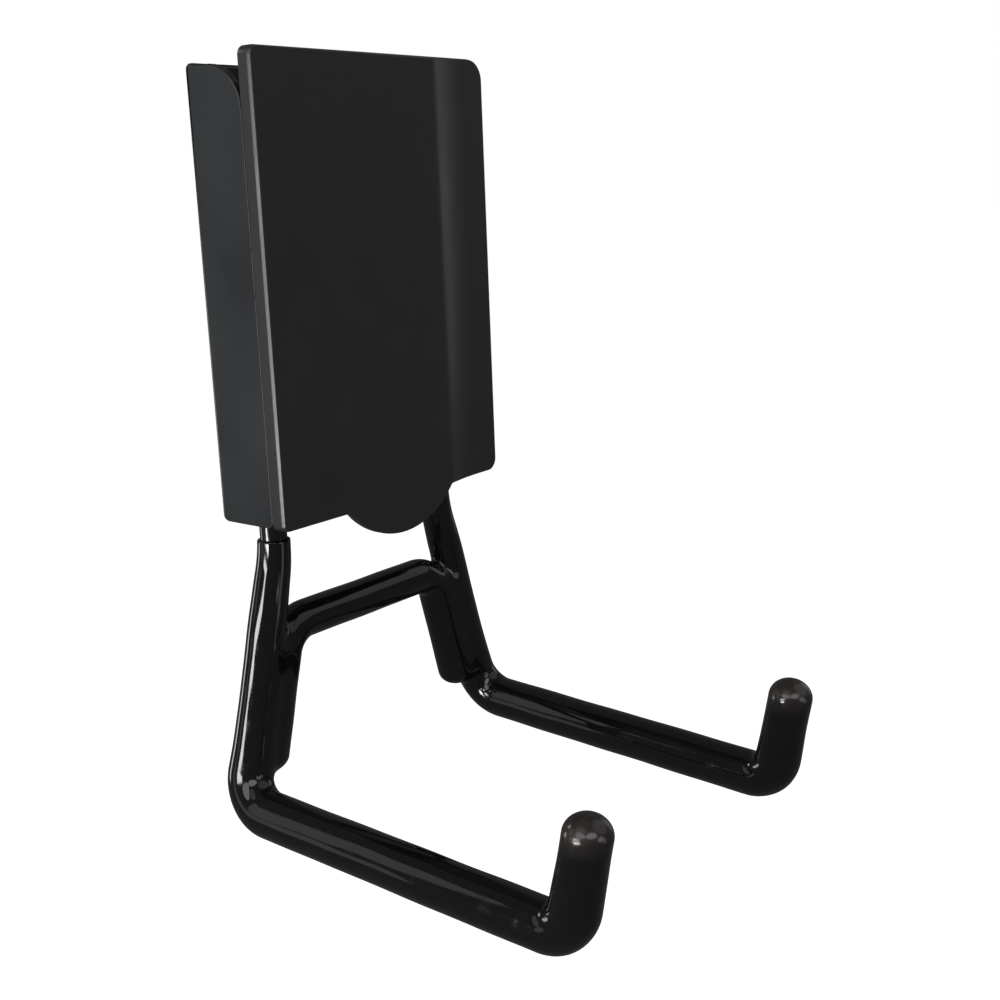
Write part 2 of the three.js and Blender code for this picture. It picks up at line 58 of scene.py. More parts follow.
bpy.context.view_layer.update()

MM = 0.001
MERGE = 0.02  # corners closer than this become one
SHARP_EDGE = math.radians(28)  # edges that turn further than this are rounded
SHARP_SHADE = math.radians(40)  # edges that turn further than this stay sharp in the light
ASKEW = (0.3, 0.9, 0.2)  # a direction that no rod runs along
WHITE = (1, 1, 1, 1)

Piece = bpy.types.Object
Point = tuple[float, float]
Span = tuple[float, float]
Corner = tuple[float, float, float]
Colour = tuple[float, float, float]
Arrays = tuple[np.ndarray, np.ndarray]
Ring = tuple[np.ndarray, np.ndarray, np.ndarray, float]
Source = bpy.types.NodeSocket | float | tuple[float, ...]


class Side(Enum):
    """The two halves of the hanger, with the sign of X on each."""

    LEFT = -1
    RIGHT = 1


class Body(Enum):
    """The two bodies that pieces ride on."""

    BRACKET = "bracket"
    COVER = "cover"


class Slot(Enum):
    """The record's material slots."""

    STEEL = "powder_coated_steel"
    PLASTIC = "moulded_plastic"
    PVC = "dipped_pvc"


class Plane(Enum):
    """The plane that an outline is drawn in, as the axes of its first, second and extruded direction."""

    PLAN = (0, 1, 2)
    PROFILE = (1, 2, 0)
    FRONT = (0, 2, 1)


# ---- meshes -------------------------------------------------------------------------------------------


def make_object(name: str, mesh: bpy.types.Mesh) -> Piece:
    """Puts a mesh into the scene as an object.

    Args:
        name: the piece's name.
        mesh: its mesh, in metres.

    Returns:
        The new object.
    """
    piece = bpy.data.objects.new(name, mesh)
    bpy.context.scene.collection.objects.link(piece)
    return piece


def mesh_from(
    name: str, points: Sequence[Sequence[float]], faces: Sequence[Sequence[int]]
) -> bpy.types.Mesh:
    """Makes a smooth-shaded mesh.

    Args:
        name: the mesh's name.
        points: its corners in millimetres, one row each.
        faces: corner numbers of each face, anticlockwise seen from outside.

    Returns:
        The mesh, in metres.
    """
    mesh = bpy.data.meshes.new(name)
    mesh.from_pydata((np.asarray(points) * MM).tolist(), [], [list(face) for face in faces])
    mesh.shade_smooth()
    mesh.update()
    return mesh


def rounded_outline(corners: Sequence[Corner], step_degrees: float = 7.5) -> list[Point]:
    """Draws a straight-sided closed outline with rounded corners.

    Args:
        corners: the corner points, each with its rounding radius.
        step_degrees: the turn between two points of a rounding.

    Returns:
        The outline's points in order.
    """
    outline = []
    for i, (x, y, radius) in enumerate(corners):
        here = Vector((x, y))
        back = (Vector(corners[i - 1][:2]) - here).normalized()
        forth = (Vector(corners[(i + 1) % len(corners)][:2]) - here).normalized()
        if radius <= 0:
            outline.append((x, y))
            continue
        half = back.angle(forth) / 2
        centre = here + (back + forth).normalized() * (radius / math.sin(half))
        start = here + back * (radius / math.tan(half)) - centre
        turn = math.pi - 2 * half
        if back.x * forth.y - back.y * forth.x > 0:
            turn = -turn
        steps = max(2, math.ceil(abs(math.degrees(turn)) / step_degrees))
        for k in range(steps + 1):
            angle = turn * k / steps
            c, s = math.cos(angle), math.sin(angle)
            outline.append((centre.x + c * start.x - s * start.y, centre.y + s * start.x + c * start.y))
    return outline


def solid(name: str, points: Sequence[Sequence[float]], faces: Sequence[Sequence[int]]) -> Piece:
    """Makes an object of a closed mesh, with every face turned out.

    Args:
        name: the object's name.
        points: its corners in millimetres.
        faces: corner numbers of each face.

    Returns:
        The new object.
    """
    mesh = mesh_from(name, points, faces)
    work = bmesh.new()
    work.from_mesh(mesh)
    bmesh.ops.recalc_face_normals(work, faces=work.faces)
    work.to_mesh(mesh)
    work.free()
    return make_object(name, mesh)


def prism(name: str, outline: Sequence[Point], plane: Plane, low: float, high: float) -> Piece:
    """Extrudes an outline square to its plane.

    Args:
        name: the object's name.
        outline: the outline's points in order.
        plane: the plane it is drawn in.
        low: where the extrusion starts on the third axis.
        high: where it ends.

    Returns:
        The solid as an object.
    """
    first, second, third = plane.value
    count = len(outline)
    points = np.zeros((2 * count, 3))
    points[:, [first, second]] = np.tile(outline, (2, 1))
    points[:, third] = np.repeat((low, high), count)
    faces = [list(range(count)), list(range(2 * count - 1, count - 1, -1))]
    faces += [[i, i + count, (i + 1) % count + count, (i + 1) % count] for i in range(count)]
    return solid(name, points, faces)


def round_rings(rings: Sequence[Ring], sides: int) -> tuple[list[np.ndarray], list[list[int]]]:
    """Lays out round rings of corners and joins them with faces.

    Args:
        rings: the centre, two directions across and radius of each ring. Radius 0 makes a pole.
        sides: the number of steps round a ring.

    Returns:
        The corners and the faces.
    """
    points: list[np.ndarray] = []
    numbers: list[list[int]] = []
    for centre, first, second, radius in rings:
        if radius == 0:
            numbers.append([len(points)] * sides)
            points.append(centre)
            continue
        numbers.append(list(range(len(points), len(points) + sides)))
        for i in range(sides):
            angle = 2 * math.pi * i / sides
            points.append(centre + radius * (math.cos(angle) * first + math.sin(angle) * second))
    return points, ring_faces(numbers)


def lathe(name: str, profile: Sequence[Point], axis: Matrix, sides: int = 48) -> Piece:
    """Turns a profile about an axis.

    Args:
        name: the object's name.
        profile: points as (radius, distance along the axis).
        axis: where the profile's axis, local Z, lies. Its offset is in millimetres.
        sides: the number of steps round the axis.

    Returns:
        The solid as an object.
    """
    right, up, _ = np.eye(3)
    rings = [(np.array((0.0, 0.0, along)), right, up, radius) for radius, along in profile]
    points, faces = round_rings(rings, sides)
    return solid(name, [tuple(axis @ Vector(p)) for p in points], faces)


def quarter_turn(place: Corner, axis: str, hand: int = 1) -> Matrix:
    """Returns the matrix that turns a shape a quarter about an axis and moves it to a place."""
    return Matrix.Translation(place) @ Matrix.Rotation(hand * math.pi / 2, 4, axis)


def ring_faces(rings: Sequence[Sequence[int]]) -> list[list[int]]:
    """Joins neighbouring rings of corners with faces.

    Args:
        rings: corner numbers round each ring. A pole repeats one number.

    Returns:
        The faces, quads between two rings and triangles at a pole.
    """
    faces = []
    for low, high in zip(rings, rings[1:]):
        for i in range(len(low)):
            k = (i + 1) % len(low)
            face = [low[i], low[k], high[k], high[i]]
            face = [n for at, n in enumerate(face) if n != face[at - 1]]
            if len(face) > 2:
                faces.append(face)
    return faces


def apply_modifiers(piece: Piece) -> None:
    """Turns an object's modifiers into its mesh.

    Args:
        piece: the object, which is left with no modifiers.
    """
    graph = bpy.context.evaluated_depsgraph_get()
    mesh = bpy.data.meshes.new_from_object(piece.evaluated_get(graph))
    piece.modifiers.clear()
    piece.data = mesh


def carve(piece: Piece, cutter: Piece, operation: str = "DIFFERENCE") -> Piece:
    """Cuts an object with another, or joins them, and drops the other.

    Args:
        piece: the object to change.
        cutter: the object that cuts it or is joined to it.
        operation: DIFFERENCE, UNION or INTERSECT.

    Returns:
        The changed object.
    """
    cut = piece.modifiers.new("carve", "BOOLEAN")
    cut.object = cutter
    cut.operation = operation
    cut.solver = "EXACT"
    apply_modifiers(piece)
    bpy.data.objects.remove(cutter)
    return piece


def soften(
    piece: Piece,
    width: float,
    segments: int = 3,
    width_of: Callable[[bmesh.types.BMEdge], float] | None = None,
) -> Piece:
    """Rounds an object's sharp edges and keeps its flat faces flat in the light.

    Args:
        piece: the object to round.
        width: the rounding's width in millimetres.
        segments: the number of facets across the rounding.
        width_of: gives one sharp edge's own width, which is at most the general one.

    Returns:
        The same object.
    """
    work = bmesh.new()
    work.from_mesh(piece.data)
    bmesh.ops.remove_doubles(work, verts=work.verts, dist=MERGE * MM)
    bmesh.ops.dissolve_degenerate(work, edges=work.edges, dist=MERGE * MM)
    weight = work.edges.layers.float.new("bevel_weight_edge")
    for edge in work.edges:
        if len(edge.link_faces) == 2 and edge.calc_face_angle(0) > SHARP_EDGE:
            edge[weight] = width_of(edge) / width if width_of else 1
    work.to_mesh(piece.data)
    work.free()
    bevel = piece.modifiers.new("bevel", "BEVEL")
    bevel.width = width * MM
    bevel.segments = segments
    bevel.limit_method = "WEIGHT"
    bevel.miter_outer = "MITER_ARC"
    bevel.use_clamp_overlap = False
    apply_modifiers(piece)
    return even_out(piece)


def even_out(piece: Piece) -> Piece:
    """Shades an object smooth, with its large faces left flat.

    Args:
        piece: the object.

    Returns:
        The same object.
    """
    piece.data.shade_smooth()
    piece.data.set_sharp_from_angle(angle=SHARP_SHADE)
    even = piece.modifiers.new("even", "WEIGHTED_NORMAL")
    even.mode = "FACE_AREA"
    even.weight = 100
    even.keep_sharp = True
    apply_modifiers(piece)
    return piece


def join(name: str, parts: Sequence[Piece]) -> Piece:
    """Makes one object of several, without cutting them.

    Args:
        name: the new object's name.
        parts: the objects to join, which are dropped.

    Returns:
        The new object.
    """
    work = bmesh.new()
    for part in parts:
        work.from_mesh(part.data)
    mesh = bpy.data.meshes.new(name)
    work.to_mesh(mesh)
    work.free()
    for part in parts:
        bpy.data.objects.remove(part)
    return make_object(name, mesh)


# ---- finishes -----------------------------------------------------------------------------------------


class Graph:
    """A node tree, with short ways to add and wire its nodes."""

    def __init__(self, owner: bpy.types.Material | bpy.types.World) -> None:
        """Opens the node tree of a material or of the world."""
        owner.use_nodes = True
        self.tree = owner.node_tree

    def first(self, kind: str) -> bpy.types.Node:
        """Returns the tree's first node of a kind."""
        return next(node for node in self.tree.nodes if node.type == kind)

    def feed(self, socket: bpy.types.NodeSocket, source: Source) -> None:
        """Links a socket to what feeds it, or sets its value.

        Args:
            socket: the socket to feed.
            source: another node's socket, or a value.
        """
        if isinstance(source, bpy.types.NodeSocket):
            self.tree.links.new(source, socket)
        else:
            socket.default_value = source

    def add(self, kind: str, inputs: dict[str | int, Source], **settings: str) -> bpy.types.Node:
        """Adds a node.

        Args:
            kind: its type, without the leading ShaderNode.
            inputs: what feeds or fills each of its sockets.
            settings: its settings, made before its sockets are used.

        Returns:
            The node.
        """
        node = self.tree.nodes.new(f"ShaderNode{kind}")
        for name, value in settings.items():
            setattr(node, name, value)
        for name, source in inputs.items():
            self.feed(node.inputs[name], source)
        return node

    def math(self, operation: str, first: Source, second: Source) -> bpy.types.NodeSocket:
        """Returns what an operation makes of two values."""
        return self.add("Math", {0: first, 1: second}, operation=operation).outputs[0]

    def place(self) -> bpy.types.NodeSocket:
        """Returns where a point lies on the piece."""
        return self.add("TexCoord", {}).outputs["Object"]

    def remap(self, source: Source, span: Span, target: Span) -> bpy.types.NodeSocket:
        """Maps one range of values to another, clamped.

        Args:
            source: the value to map.
            span: the range that is read.
            target: the range that is given.

        Returns:
            The mapped value's socket.
        """
        names = ("Value", "From Min", "From Max", "To Min", "To Max")
        return self.add("MapRange", dict(zip(names, (source, *span, *target)))).outputs["Result"]

    def blend(self, factor: Source, low: Colour, high: Colour) -> bpy.types.NodeSocket:
        """Mixes two colours.

        Args:
            factor: where between the two colours a point is.
            low: the colour at 0.
            high: the colour at 1.

        Returns:
            The mixed colour's socket.
        """
        inputs = {"A": (*low, 1), "B": (*high, 1), "Factor": factor}
        return self.add("Mix", inputs, data_type="RGBA").outputs["Result"]


@dataclass(frozen=True)
class Noise:
    """A noise pattern: its repeats per metre, its finer octaves and how strong those are."""

    scale: float
    detail: float
    roughness: float = 0.5

    def build(self, graph: Graph) -> bpy.types.NodeSocket:
        """Returns the pattern's socket. The pattern is fixed to the piece."""
        inputs = {"Scale": self.scale, "Detail": self.detail, "Roughness": self.roughness}
        return graph.add("TexNoise", {**inputs, "Vector": graph.place()}).outputs["Fac"]


@dataclass(frozen=True)
class Relief:
    """One layer of fine relief: its pattern, its strength and its depth in millimetres."""

    noise: Noise
    strength: float
    depth: float


@dataclass(frozen=True)
class Finish:
    """What every finish is: a colour and a roughness that a cloud of noise varies, over a fine relief.

    The cloud is read over its span. There, the colour goes from the first of the shades, as a share of
    itself, to the second, and the roughness changes from the first to the second of the dulling.
    """

    name: str
    colour: Colour
    roughness: float
    ior: float
    cloud: Noise
    span: Span
    dulling: Span
    relief: tuple[Relief, ...]
    shades: Span | None = None

    def vary(self, graph: Graph, surface: bpy.types.NodeInputs) -> None:
        """Varies the colour and the roughness.

        Args:
            graph: the material's node tree.
            surface: the shader's sockets.
        """
        cloud = self.cloud.build(graph)
        if self.shades:
            low, high = (tuple(share * c for c in self.colour) for share in self.shades)
            factor = graph.remap(cloud, self.span, (0, 1))
            graph.feed(surface["Base Color"], graph.blend(factor, low, high))
        ends = tuple(self.roughness + change for change in self.dulling)
        graph.feed(surface["Roughness"], graph.remap(cloud, self.span, ends))

    def build(self) -> bpy.types.Material:
        """Builds the finish.

        Returns:
            Its material.
        """
        material = bpy.data.materials.new(self.name)
        material.diffuse_color = (*self.colour, 1)
        graph = Graph(material)
        surface = graph.first("BSDF_PRINCIPLED").inputs
        surface["Base Color"].default_value = (*self.colour, 1)
        surface["Roughness"].default_value = self.roughness
        surface["IOR"].default_value = self.ior
        self.vary(graph, surface)
        below = {}
        for layer in self.relief:
            height = layer.noise.build(graph)
            inputs = {"Strength": layer.strength, "Distance": layer.depth * MM, "Height": height}
            below = {"Normal": graph.add("Bump", {**inputs, **below}).outputs["Normal"]}
        graph.feed(surface["Normal"], below["Normal"])
        return material


@dataclass(frozen=True)
class PowderCoat(Finish):
    """Satin black powder coat: a slight orange peel, and a little variation from the oven."""

    name: str = "powder_coat"
    colour: Colour = (0.0102, 0.0116, 0.0131)
    roughness: float = 0.3
    ior: float = 1.5
    cloud: Noise = Noise(45, 3)
    span: Span = (0.3, 0.7)
    dulling: Span = (-0.04, 0.05)
    relief: tuple[Relief, ...] = (
        Relief(Noise(700, 2), 0.35, 0.02),
        Relief(Noise(4200, 1), 0.25, 0.008),
    )
    shades: Span = (0.8, 1.25)


@dataclass(frozen=True)
class RodPaint(Finish):
    """The smoother, glossier paint that shows on the bare stretch of the rods."""

    name: str = "rod_paint"
    colour: Colour = (0.005, 0.0053, 0.006)
    roughness: float = 0.1
    ior: float = 1.5
    cloud: Noise = Noise(80, 3)
    span: Span = (0.3, 0.7)
    dulling: Span = (-0.04, 0.05)
    relief: tuple[Relief, ...] = (Relief(Noise(500, 2), 0.25, 0.02),)


@dataclass(frozen=True)
class MouldedPlastic(Finish):
    """Black moulded plastic with slow sink marks, a fine spark-eroded satin and a few rubbed places."""

    name: str = "moulded_plastic"
    colour: Colour = (0.0178, 0.0176, 0.0169)
    roughness: float = 0.31
    ior: float = 1.46
    cloud: Noise = Noise(110, 5, 0.62)
    span: Span = (0.35, 0.7)
    dulling: Span = (0.03, -0.05)
    relief: tuple[Relief, ...] = (
        Relief(Noise(38, 1), 0.12, 0.12),
        Relief(Noise(5200, 2, 0.6), 0.3, 0.008),
    )
    shades: Span = (0.88, 1.16)


@dataclass(frozen=True)
class DippedPvc(Finish):
    """Glossy black soft PVC: wavy from the dip, with faint handling marks, and tip tops rubbed dull and
    lightened by a painted sheen.
    """

    name: str = "dipped_pvc"
    colour: Colour = (0.0034, 0.0035, 0.0036)
    roughness: float = 0.06
    ior: float = 1.53
    cloud: Noise = Noise(260, 6, 0.7)
    span: Span = (0.5, 0.75)
    dulling: Span = (0, 0.16)
    relief: tuple[Relief, ...] = (Relief(Noise(90, 2, 0.4), 0.3, 0.25),)
    tip_y: float = -80
    tip_z: float = -72
    # The tip tops placed below are rubbed dull in the roughness and carry a painted sheen, a lighter
    # colour that stands in for light from above.
    rub_and_sheen_depth: float = 6
    rub_and_sheen_behind: Span = (12, 8)
    rub_and_sheen_span: Span = (0.3, 0.6)
    rub_and_sheen_least: float = 0.45
    # painted sheen: the lighter colour of the tip tops, standing in for the reflection of light from above
    painted_sheen_colour: Colour = (0.024, 0.0198, 0.0178)
    rubbed_dulling: float = 0.16

    def vary(self, graph: Graph, surface: bpy.types.NodeInputs) -> None:
        """Varies the colour where the tip tops carry a painted sheen, and the roughness there, where they
        are rubbed, and in the handling marks.

        Args:
            graph: the material's node tree.
            surface: the shader's sockets.
        """
        marks = self.cloud.build(graph)
        rubbed_and_sheen = self.rubbed_and_sheen(graph, marks)
        # paints the sheen of light from above onto the tip tops as a lighter colour
        graph.feed(surface["Base Color"], graph.blend(rubbed_and_sheen, self.colour, self.painted_sheen_colour))
        ends = tuple(self.roughness + change for change in self.dulling)
        handled = graph.remap(marks, self.span, ends)
        worn = graph.remap(rubbed_and_sheen, (0, 1), (0, self.rubbed_dulling))
        graph.feed(surface["Roughness"], graph.math("ADD", handled, worn))

    def rubbed_and_sheen(self, graph: Graph, marks: bpy.types.NodeSocket) -> bpy.types.NodeSocket:
        """Finds the tops of the tips, which are rubbed dull and carry a painted sheen.

        Args:
            graph: the material's node tree.
            marks: the noise that breaks these places up.

        Returns:
            The socket that is 1 where the skin is rubbed dull and painted with sheen.
        """
        axes = graph.add("SeparateXYZ", {0: graph.place()}).outputs
        low, high = self.tip_z - self.rub_and_sheen_depth, self.tip_z - 0.3 * self.rub_and_sheen_depth
        behind, before = ((self.tip_y + past) * MM for past in self.rub_and_sheen_behind)
        high_up = graph.remap(axes["Z"], (low * MM, high * MM), (0, 1))
        far_out = graph.remap(axes["Y"], (behind, before), (0, 1))
        broken_up = graph.remap(marks, self.rub_and_sheen_span, (self.rub_and_sheen_least, 1))
        return graph.math("MULTIPLY", graph.math("MULTIPLY", high_up, far_out), broken_up)


def dress(piece: Piece, finish: bpy.types.Material, slot: Slot, body: Body) -> Piece:
    """Gives a piece its finish and its body.

    Args:
        piece: the piece.
        finish: its material.
        slot: the record's slot, not used here.
        body: the body that it moves with.

    Returns:
        The same piece.
    """
    piece.data.materials.clear()
    piece.data.materials.append(finish)
    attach(piece, body.value)
    LOG.info("%s: %d faces, rides on %s", piece.name, len(piece.data.polygons), body.value)
    return piece


# ---- bent rods ----------------------------------------------------------------------------------------


@dataclass(frozen=True)
class Run:
    """A straight stretch of a centre line."""

    start: np.ndarray
    along: np.ndarray
    length: float
    begun: float

    def place(self, station: float) -> Arrays:
        """Returns the point and the direction at a station of the whole line."""
        return self.start + self.along * (station - self.begun), self.along

    def reach(self, points: np.ndarray, open_start: bool, open_end: bool, stretch: float) -> Arrays:
        """Measures points against the stretch.

        Args:
            points: one row each.
            open_start: whether the whole line starts here.
            open_end: whether the whole line ends here.
            stretch: how much a distance past an open end counts.

        Returns:
            Their distance from the line and their station on it.
        """
        offset = points - self.start
        along = offset @ self.along
        across = np.maximum(np.einsum("ij,ij->i", offset, offset) - along**2, 0)
        on = np.clip(along, 0, self.length)
        past = along - on
        past = np.where(((past < 0) & open_start) | ((past > 0) & open_end), past * stretch, past)
        return np.sqrt(across + past**2), self.begun + on


@dataclass(frozen=True)
class Turn:
    """A round bend of a centre line."""

    centre: np.ndarray
    outward: np.ndarray
    along: np.ndarray
    radius: float
    angle: float
    begun: float

    @property
    def length(self) -> float:
        """The bend's length on its centre line."""
        return self.radius * self.angle

    def place(self, station: float) -> Arrays:
        """Finds a place on the bend.

        Args:
            station: how far along the whole line it is.

        Returns:
            Its point and the line's direction there.
        """
        at = (station - self.begun) / self.radius
        c, s = math.cos(at), math.sin(at)
        point = self.centre + self.radius * (c * self.outward + s * self.along)
        return point, c * self.along - s * self.outward

    def reach(self, points: np.ndarray, open_start: bool, open_end: bool, stretch: float) -> Arrays:
        """Measures points against the bend, which is never at an open end.

        Args:
            points: one row each.
            open_start: not used here.
            open_end: not used here.
            stretch: not used here.

        Returns:
            Their distance from the line and their station on it.
        """
        offset = points - self.centre
        at = np.arctan2(offset @ self.along, offset @ self.outward)
        at = np.clip(at, 0, self.angle)
        nearest = self.radius * (np.cos(at)[:, None] * self.outward + np.sin(at)[:, None] * self.along)
        return np.linalg.norm(offset - nearest, axis=1), self.begun + self.radius * at


class CentreLine:
    """The centre line of a bent rod: straight runs joined by round bends."""

    def __init__(self, corners: Sequence[Sequence[float]], bends: Sequence[float]) -> None:
        """Lays the line out.

        Args:
            corners: its corner points in order.
            bends: the bending radius at each inner corner.
        """
        points = [np.array(corner, float) for corner in corners]
        self.pieces: list[Run | Turn] = []
        self.length = 0.0
        start = points[0]
        for i, radius in enumerate(bends):
            corner = points[i + 1]
            into = (corner - points[i]) / np.linalg.norm(corner - points[i])
            out = (points[i + 2] - corner) / np.linalg.norm(points[i + 2] - corner)
            angle = math.acos(float(into @ out))
            reach = radius * math.tan(angle / 2)
            inward = out - into * float(into @ out)
            inward /= np.linalg.norm(inward)
            self.add_run(start, corner - into * reach)
            middle = corner - into * reach + inward * radius
            bend = Turn(middle, -inward, into, radius, angle, self.length)
            self.pieces.append(bend)
            self.length += bend.length
            start = corner + out * reach
        self.add_run(start, points[-1])

    def add_run(self, start: np.ndarray, end: np.ndarray) -> None:
        """Adds a straight run between two points."""
        length = float(np.linalg.norm(end - start))
        self.pieces.append(Run(start, (end - start) / length, length, self.length))
        self.length += length

    def reach(self, points: np.ndarray, stretch: float) -> Arrays:
        """Measures points against the line.

        Args:
            points: one row each.
            stretch: how much a distance past an end of the line counts.

        Returns:
            Their distance from the line and the station of the nearest point on it.
        """
        best, station = None, None
        for i, piece in enumerate(self.pieces):
            distance, at = piece.reach(points, i == 0, i == len(self.pieces) - 1, stretch)
            if best is None:
                best, station = distance, at
            else:
                nearer = distance < best
                best = np.where(nearer, distance, best)
                station = np.where(nearer, at, station)
        return best, station

    def place(self, station: float) -> Arrays:
        """Finds a place on the line, also a little past its ends.

        Args:
            station: how far along the line it is.

        Returns:
            Its point and the line's direction there.
        """
        for piece in self.pieces[:-1]:
            if station < piece.begun + piece.length:
                return piece.place(station)
        return self.pieces[-1].place(station)

    def stations(self, start: float, end: float, step: float) -> list[float]:
        """Returns evenly spaced stations from start to end, about step apart."""
        return list(np.linspace(start, end, max(2, round((end - start) / step) + 1)))

    def bar(self, name: str, rings: Sequence[Point], sides: int = 40) -> Piece:
        """Sweeps a round bar along the line.

        Args:
            name: the object's name.
            rings: station and radius of each ring. Radius 0 makes a pole.
            sides: the number of steps round the bar.

        Returns:
            The bar as an object.
        """
        normal = None
        laid: list[Ring] = []
        for station, radius in rings:
            centre, along = self.place(station)
            if normal is None:
                normal = np.cross(along, ASKEW)
            normal = normal - along * float(normal @ along)
            normal /= np.linalg.norm(normal)
            laid.append((centre, normal, np.cross(along, normal), radius))
        return solid(name, *round_rings(laid, sides))


@dataclass(frozen=True)
class RodFrame:
    """The welded frame of 5 mm rod: two side rods and the brace between their legs."""

    radius: float = 2.5
    gap: float = 0.3
    sheet: float = 1.6
    top_z: float = 20
    upright_x: float = 22.5
    knee_z: float = -46.8
    knee_bend: float = 30
    elbow_x: float = 34.5
    elbow_z: float = -92.1
    elbow_bend: float = 6.9
    elbow_standoff: float = 4.8
    arm_length: float = 72.6
    arm_drop: float = 2
    arm_toe_in: float = 0.9
    tip_length: float = 21.5
    tip_lean: float = 11
    tip_toe_in: float = 0.4
    tip_bend: float = 5.8
    brace_z: float = -61.1
    brace_standoff: float = 3.9
    brace_end_z: float = -87.8
    brace_bend: float = 6.6
    weld_radius: float = 1.2
    weld_length: float = 7
    weld_heights: tuple[float, ...] = (11, -6, -30)
    weld_sink: float = 0.1
    weld_standoff: float = 0.9
    weld_ripple: float = 0.1
    weld_pitch: float = 1.3
    rod_short: float = 2.4
    brace_short: float = 1.4

    @property
    def upright_y(self) -> float:
        """Where the uprights lie, on the back plate."""
        return -(self.sheet + self.gap + self.radius)

    @property
    def slope(self) -> float:
        """How far a leg spreads for each millimetre that it drops."""
        return (self.elbow_x - self.upright_x) / (self.knee_z - self.elbow_z)

    @property
    def arm_end(self) -> Point:
        """Y and Z of the corner where an arm turns up."""
        drop = math.radians(self.arm_drop)
        y = -self.elbow_standoff - self.arm_length * math.cos(drop)
        return y, self.elbow_z - self.arm_length * math.sin(drop)

    def tip(self, short: float = 0) -> Point:
        """Finds the upper end of a tip.

        Args:
            short: how far it ends short of the coat's top.

        Returns:
            Its Y and Z.
        """
        lean = math.radians(self.tip_lean)
        length = self.tip_length - short
        y, z = self.arm_end
        return y - length * math.sin(lean), z + length * math.cos(lean)

    def side_line(self, side: Side, short: float = 0) -> CentreLine:
        """Lays out a side rod.

        Args:
            side: which one.
            short: how far its tip ends short of the coat's top.

        Returns:
            Its centre line, from the upper end to the tip.
        """
        sign = side.value
        end_x = self.elbow_x - self.arm_toe_in
        corners = [
            (sign * self.upright_x, self.upright_y, self.top_z),
            (sign * self.upright_x, self.upright_y, self.knee_z),
            (sign * self.elbow_x, -self.elbow_standoff, self.elbow_z),
            (sign * end_x, *self.arm_end),
            (sign * (end_x - self.tip_toe_in), *self.tip(short)),
        ]
        return CentreLine(corners, [self.knee_bend, self.elbow_bend, self.tip_bend])

    def brace_line(self, short: float = 0) -> CentreLine:
        """Lays out the brace.

        Args:
            short: how far its ends stop short of the coat's ends.

        Returns:
            Its centre line, from the left end to the right one.
        """
        angle = math.atan(self.slope)
        offset = 2 * self.radius + self.gap
        start_x = self.upright_x - offset * math.cos(angle)
        start_z = self.knee_z - offset * math.sin(angle)
        end_z = self.brace_end_z + short
        corners = []
        for sign, z in ((-1, end_z), (-1, self.brace_z), (1, self.brace_z), (1, end_z)):
            corners.append((sign * (start_x + self.slope * (start_z - z)), -self.brace_standoff, z))
        return CentreLine(corners, [self.brace_bend, self.brace_bend])

    def rod(self, name: str, line: CentreLine) -> Piece:
        """Makes a rod with lightly chamfered ends.

        Args:
            name: the object's name.
            line: its centre line.

        Returns:
            The rod as an object.
        """
        chamfer = 0.4
        rings = [(0.0, 0.0), (0.0, self.radius - chamfer)]
        rings += [(s, self.radius) for s in line.stations(chamfer, line.length - chamfer, 0.8)]
        rings += [(line.length, self.radius - chamfer), (line.length, 0.0)]
        return line.bar(name, rings)

    def bead(self, side: Side, hand: int, height: float) -> Piece:
        """Makes one weld bead beside an upright, with the ripples that the weld pool leaves.

        Args:
            side: which upright.
            hand: the side of it, -1 or 1.
            height: the bead's middle.

        Returns:
            The bead as an object.
        """
        x = side.value * self.upright_x + hand * (self.radius - self.weld_sink)
        y = -(self.sheet + self.weld_standoff)
        half = self.weld_length / 2 + self.weld_radius
        line = CentreLine([(x, y, height + half), (x, y, height - half)], [])
        rings = [(0.0, 0.0)]
        for s in line.stations(0.15, line.length - 0.15, 0.18):
            end = min(s, line.length - s)
            cap = math.sqrt(max(0.0, 1 - (1 - min(end / self.weld_radius, 1)) ** 2))
            ripple = 1 + self.weld_ripple * abs(math.sin(math.pi * s / self.weld_pitch))
            rings.append((s, self.weld_radius * cap * ripple))
        rings.append((line.length, 0.0))
        return line.bar(f"bead_{side.name}_{hand}_{height}", rings, 20)

    def build(self, paint: bpy.types.Material) -> None:
        """Builds and dresses the three rods.

        Args:
            paint: the rods' finish.
        """
        for side in Side:
            name = side.name.lower()
            parts = [self.rod(f"{name}_rod_bar", self.side_line(side, self.rod_short))]
            parts += [self.bead(side, hand, z) for z in self.weld_heights for hand in (-1, 1)]
            welded = dress(join(f"{name}_welded_rod", parts), paint, Slot.STEEL, Body.BRACKET)
            welded.data.shade_smooth()
            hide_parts(f"{name}_rod")
        bar = self.rod("brace_bar", self.brace_line(self.brace_short))
        brace = dress(bar, paint, Slot.STEEL, Body.BRACKET)
        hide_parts("brace_rod")


# ---- the dip ------------------------------------------------------------------------------------------


def ease(value: np.ndarray, low: float, high: float) -> np.ndarray:
    """Rises smoothly from 0 at low to 1 at high."""
    share = np.clip((value - low) / (high - low), 0, 1)
    return share * share * (3 - 2 * share)


def melt(first: np.ndarray, second: np.ndarray, size: float | np.ndarray) -> np.ndarray:
    """Joins two shapes, given as distances, with a soft fillet.

    Args:
        first: distances from one shape.
        second: distances from the other.
        size: how wide the fillet reaches.

    Returns:
        Distances from the joined shape.
    """
    near = np.maximum(size - np.abs(first - second), 0) / size
    return np.minimum(first, second) - near**3 * size / 6


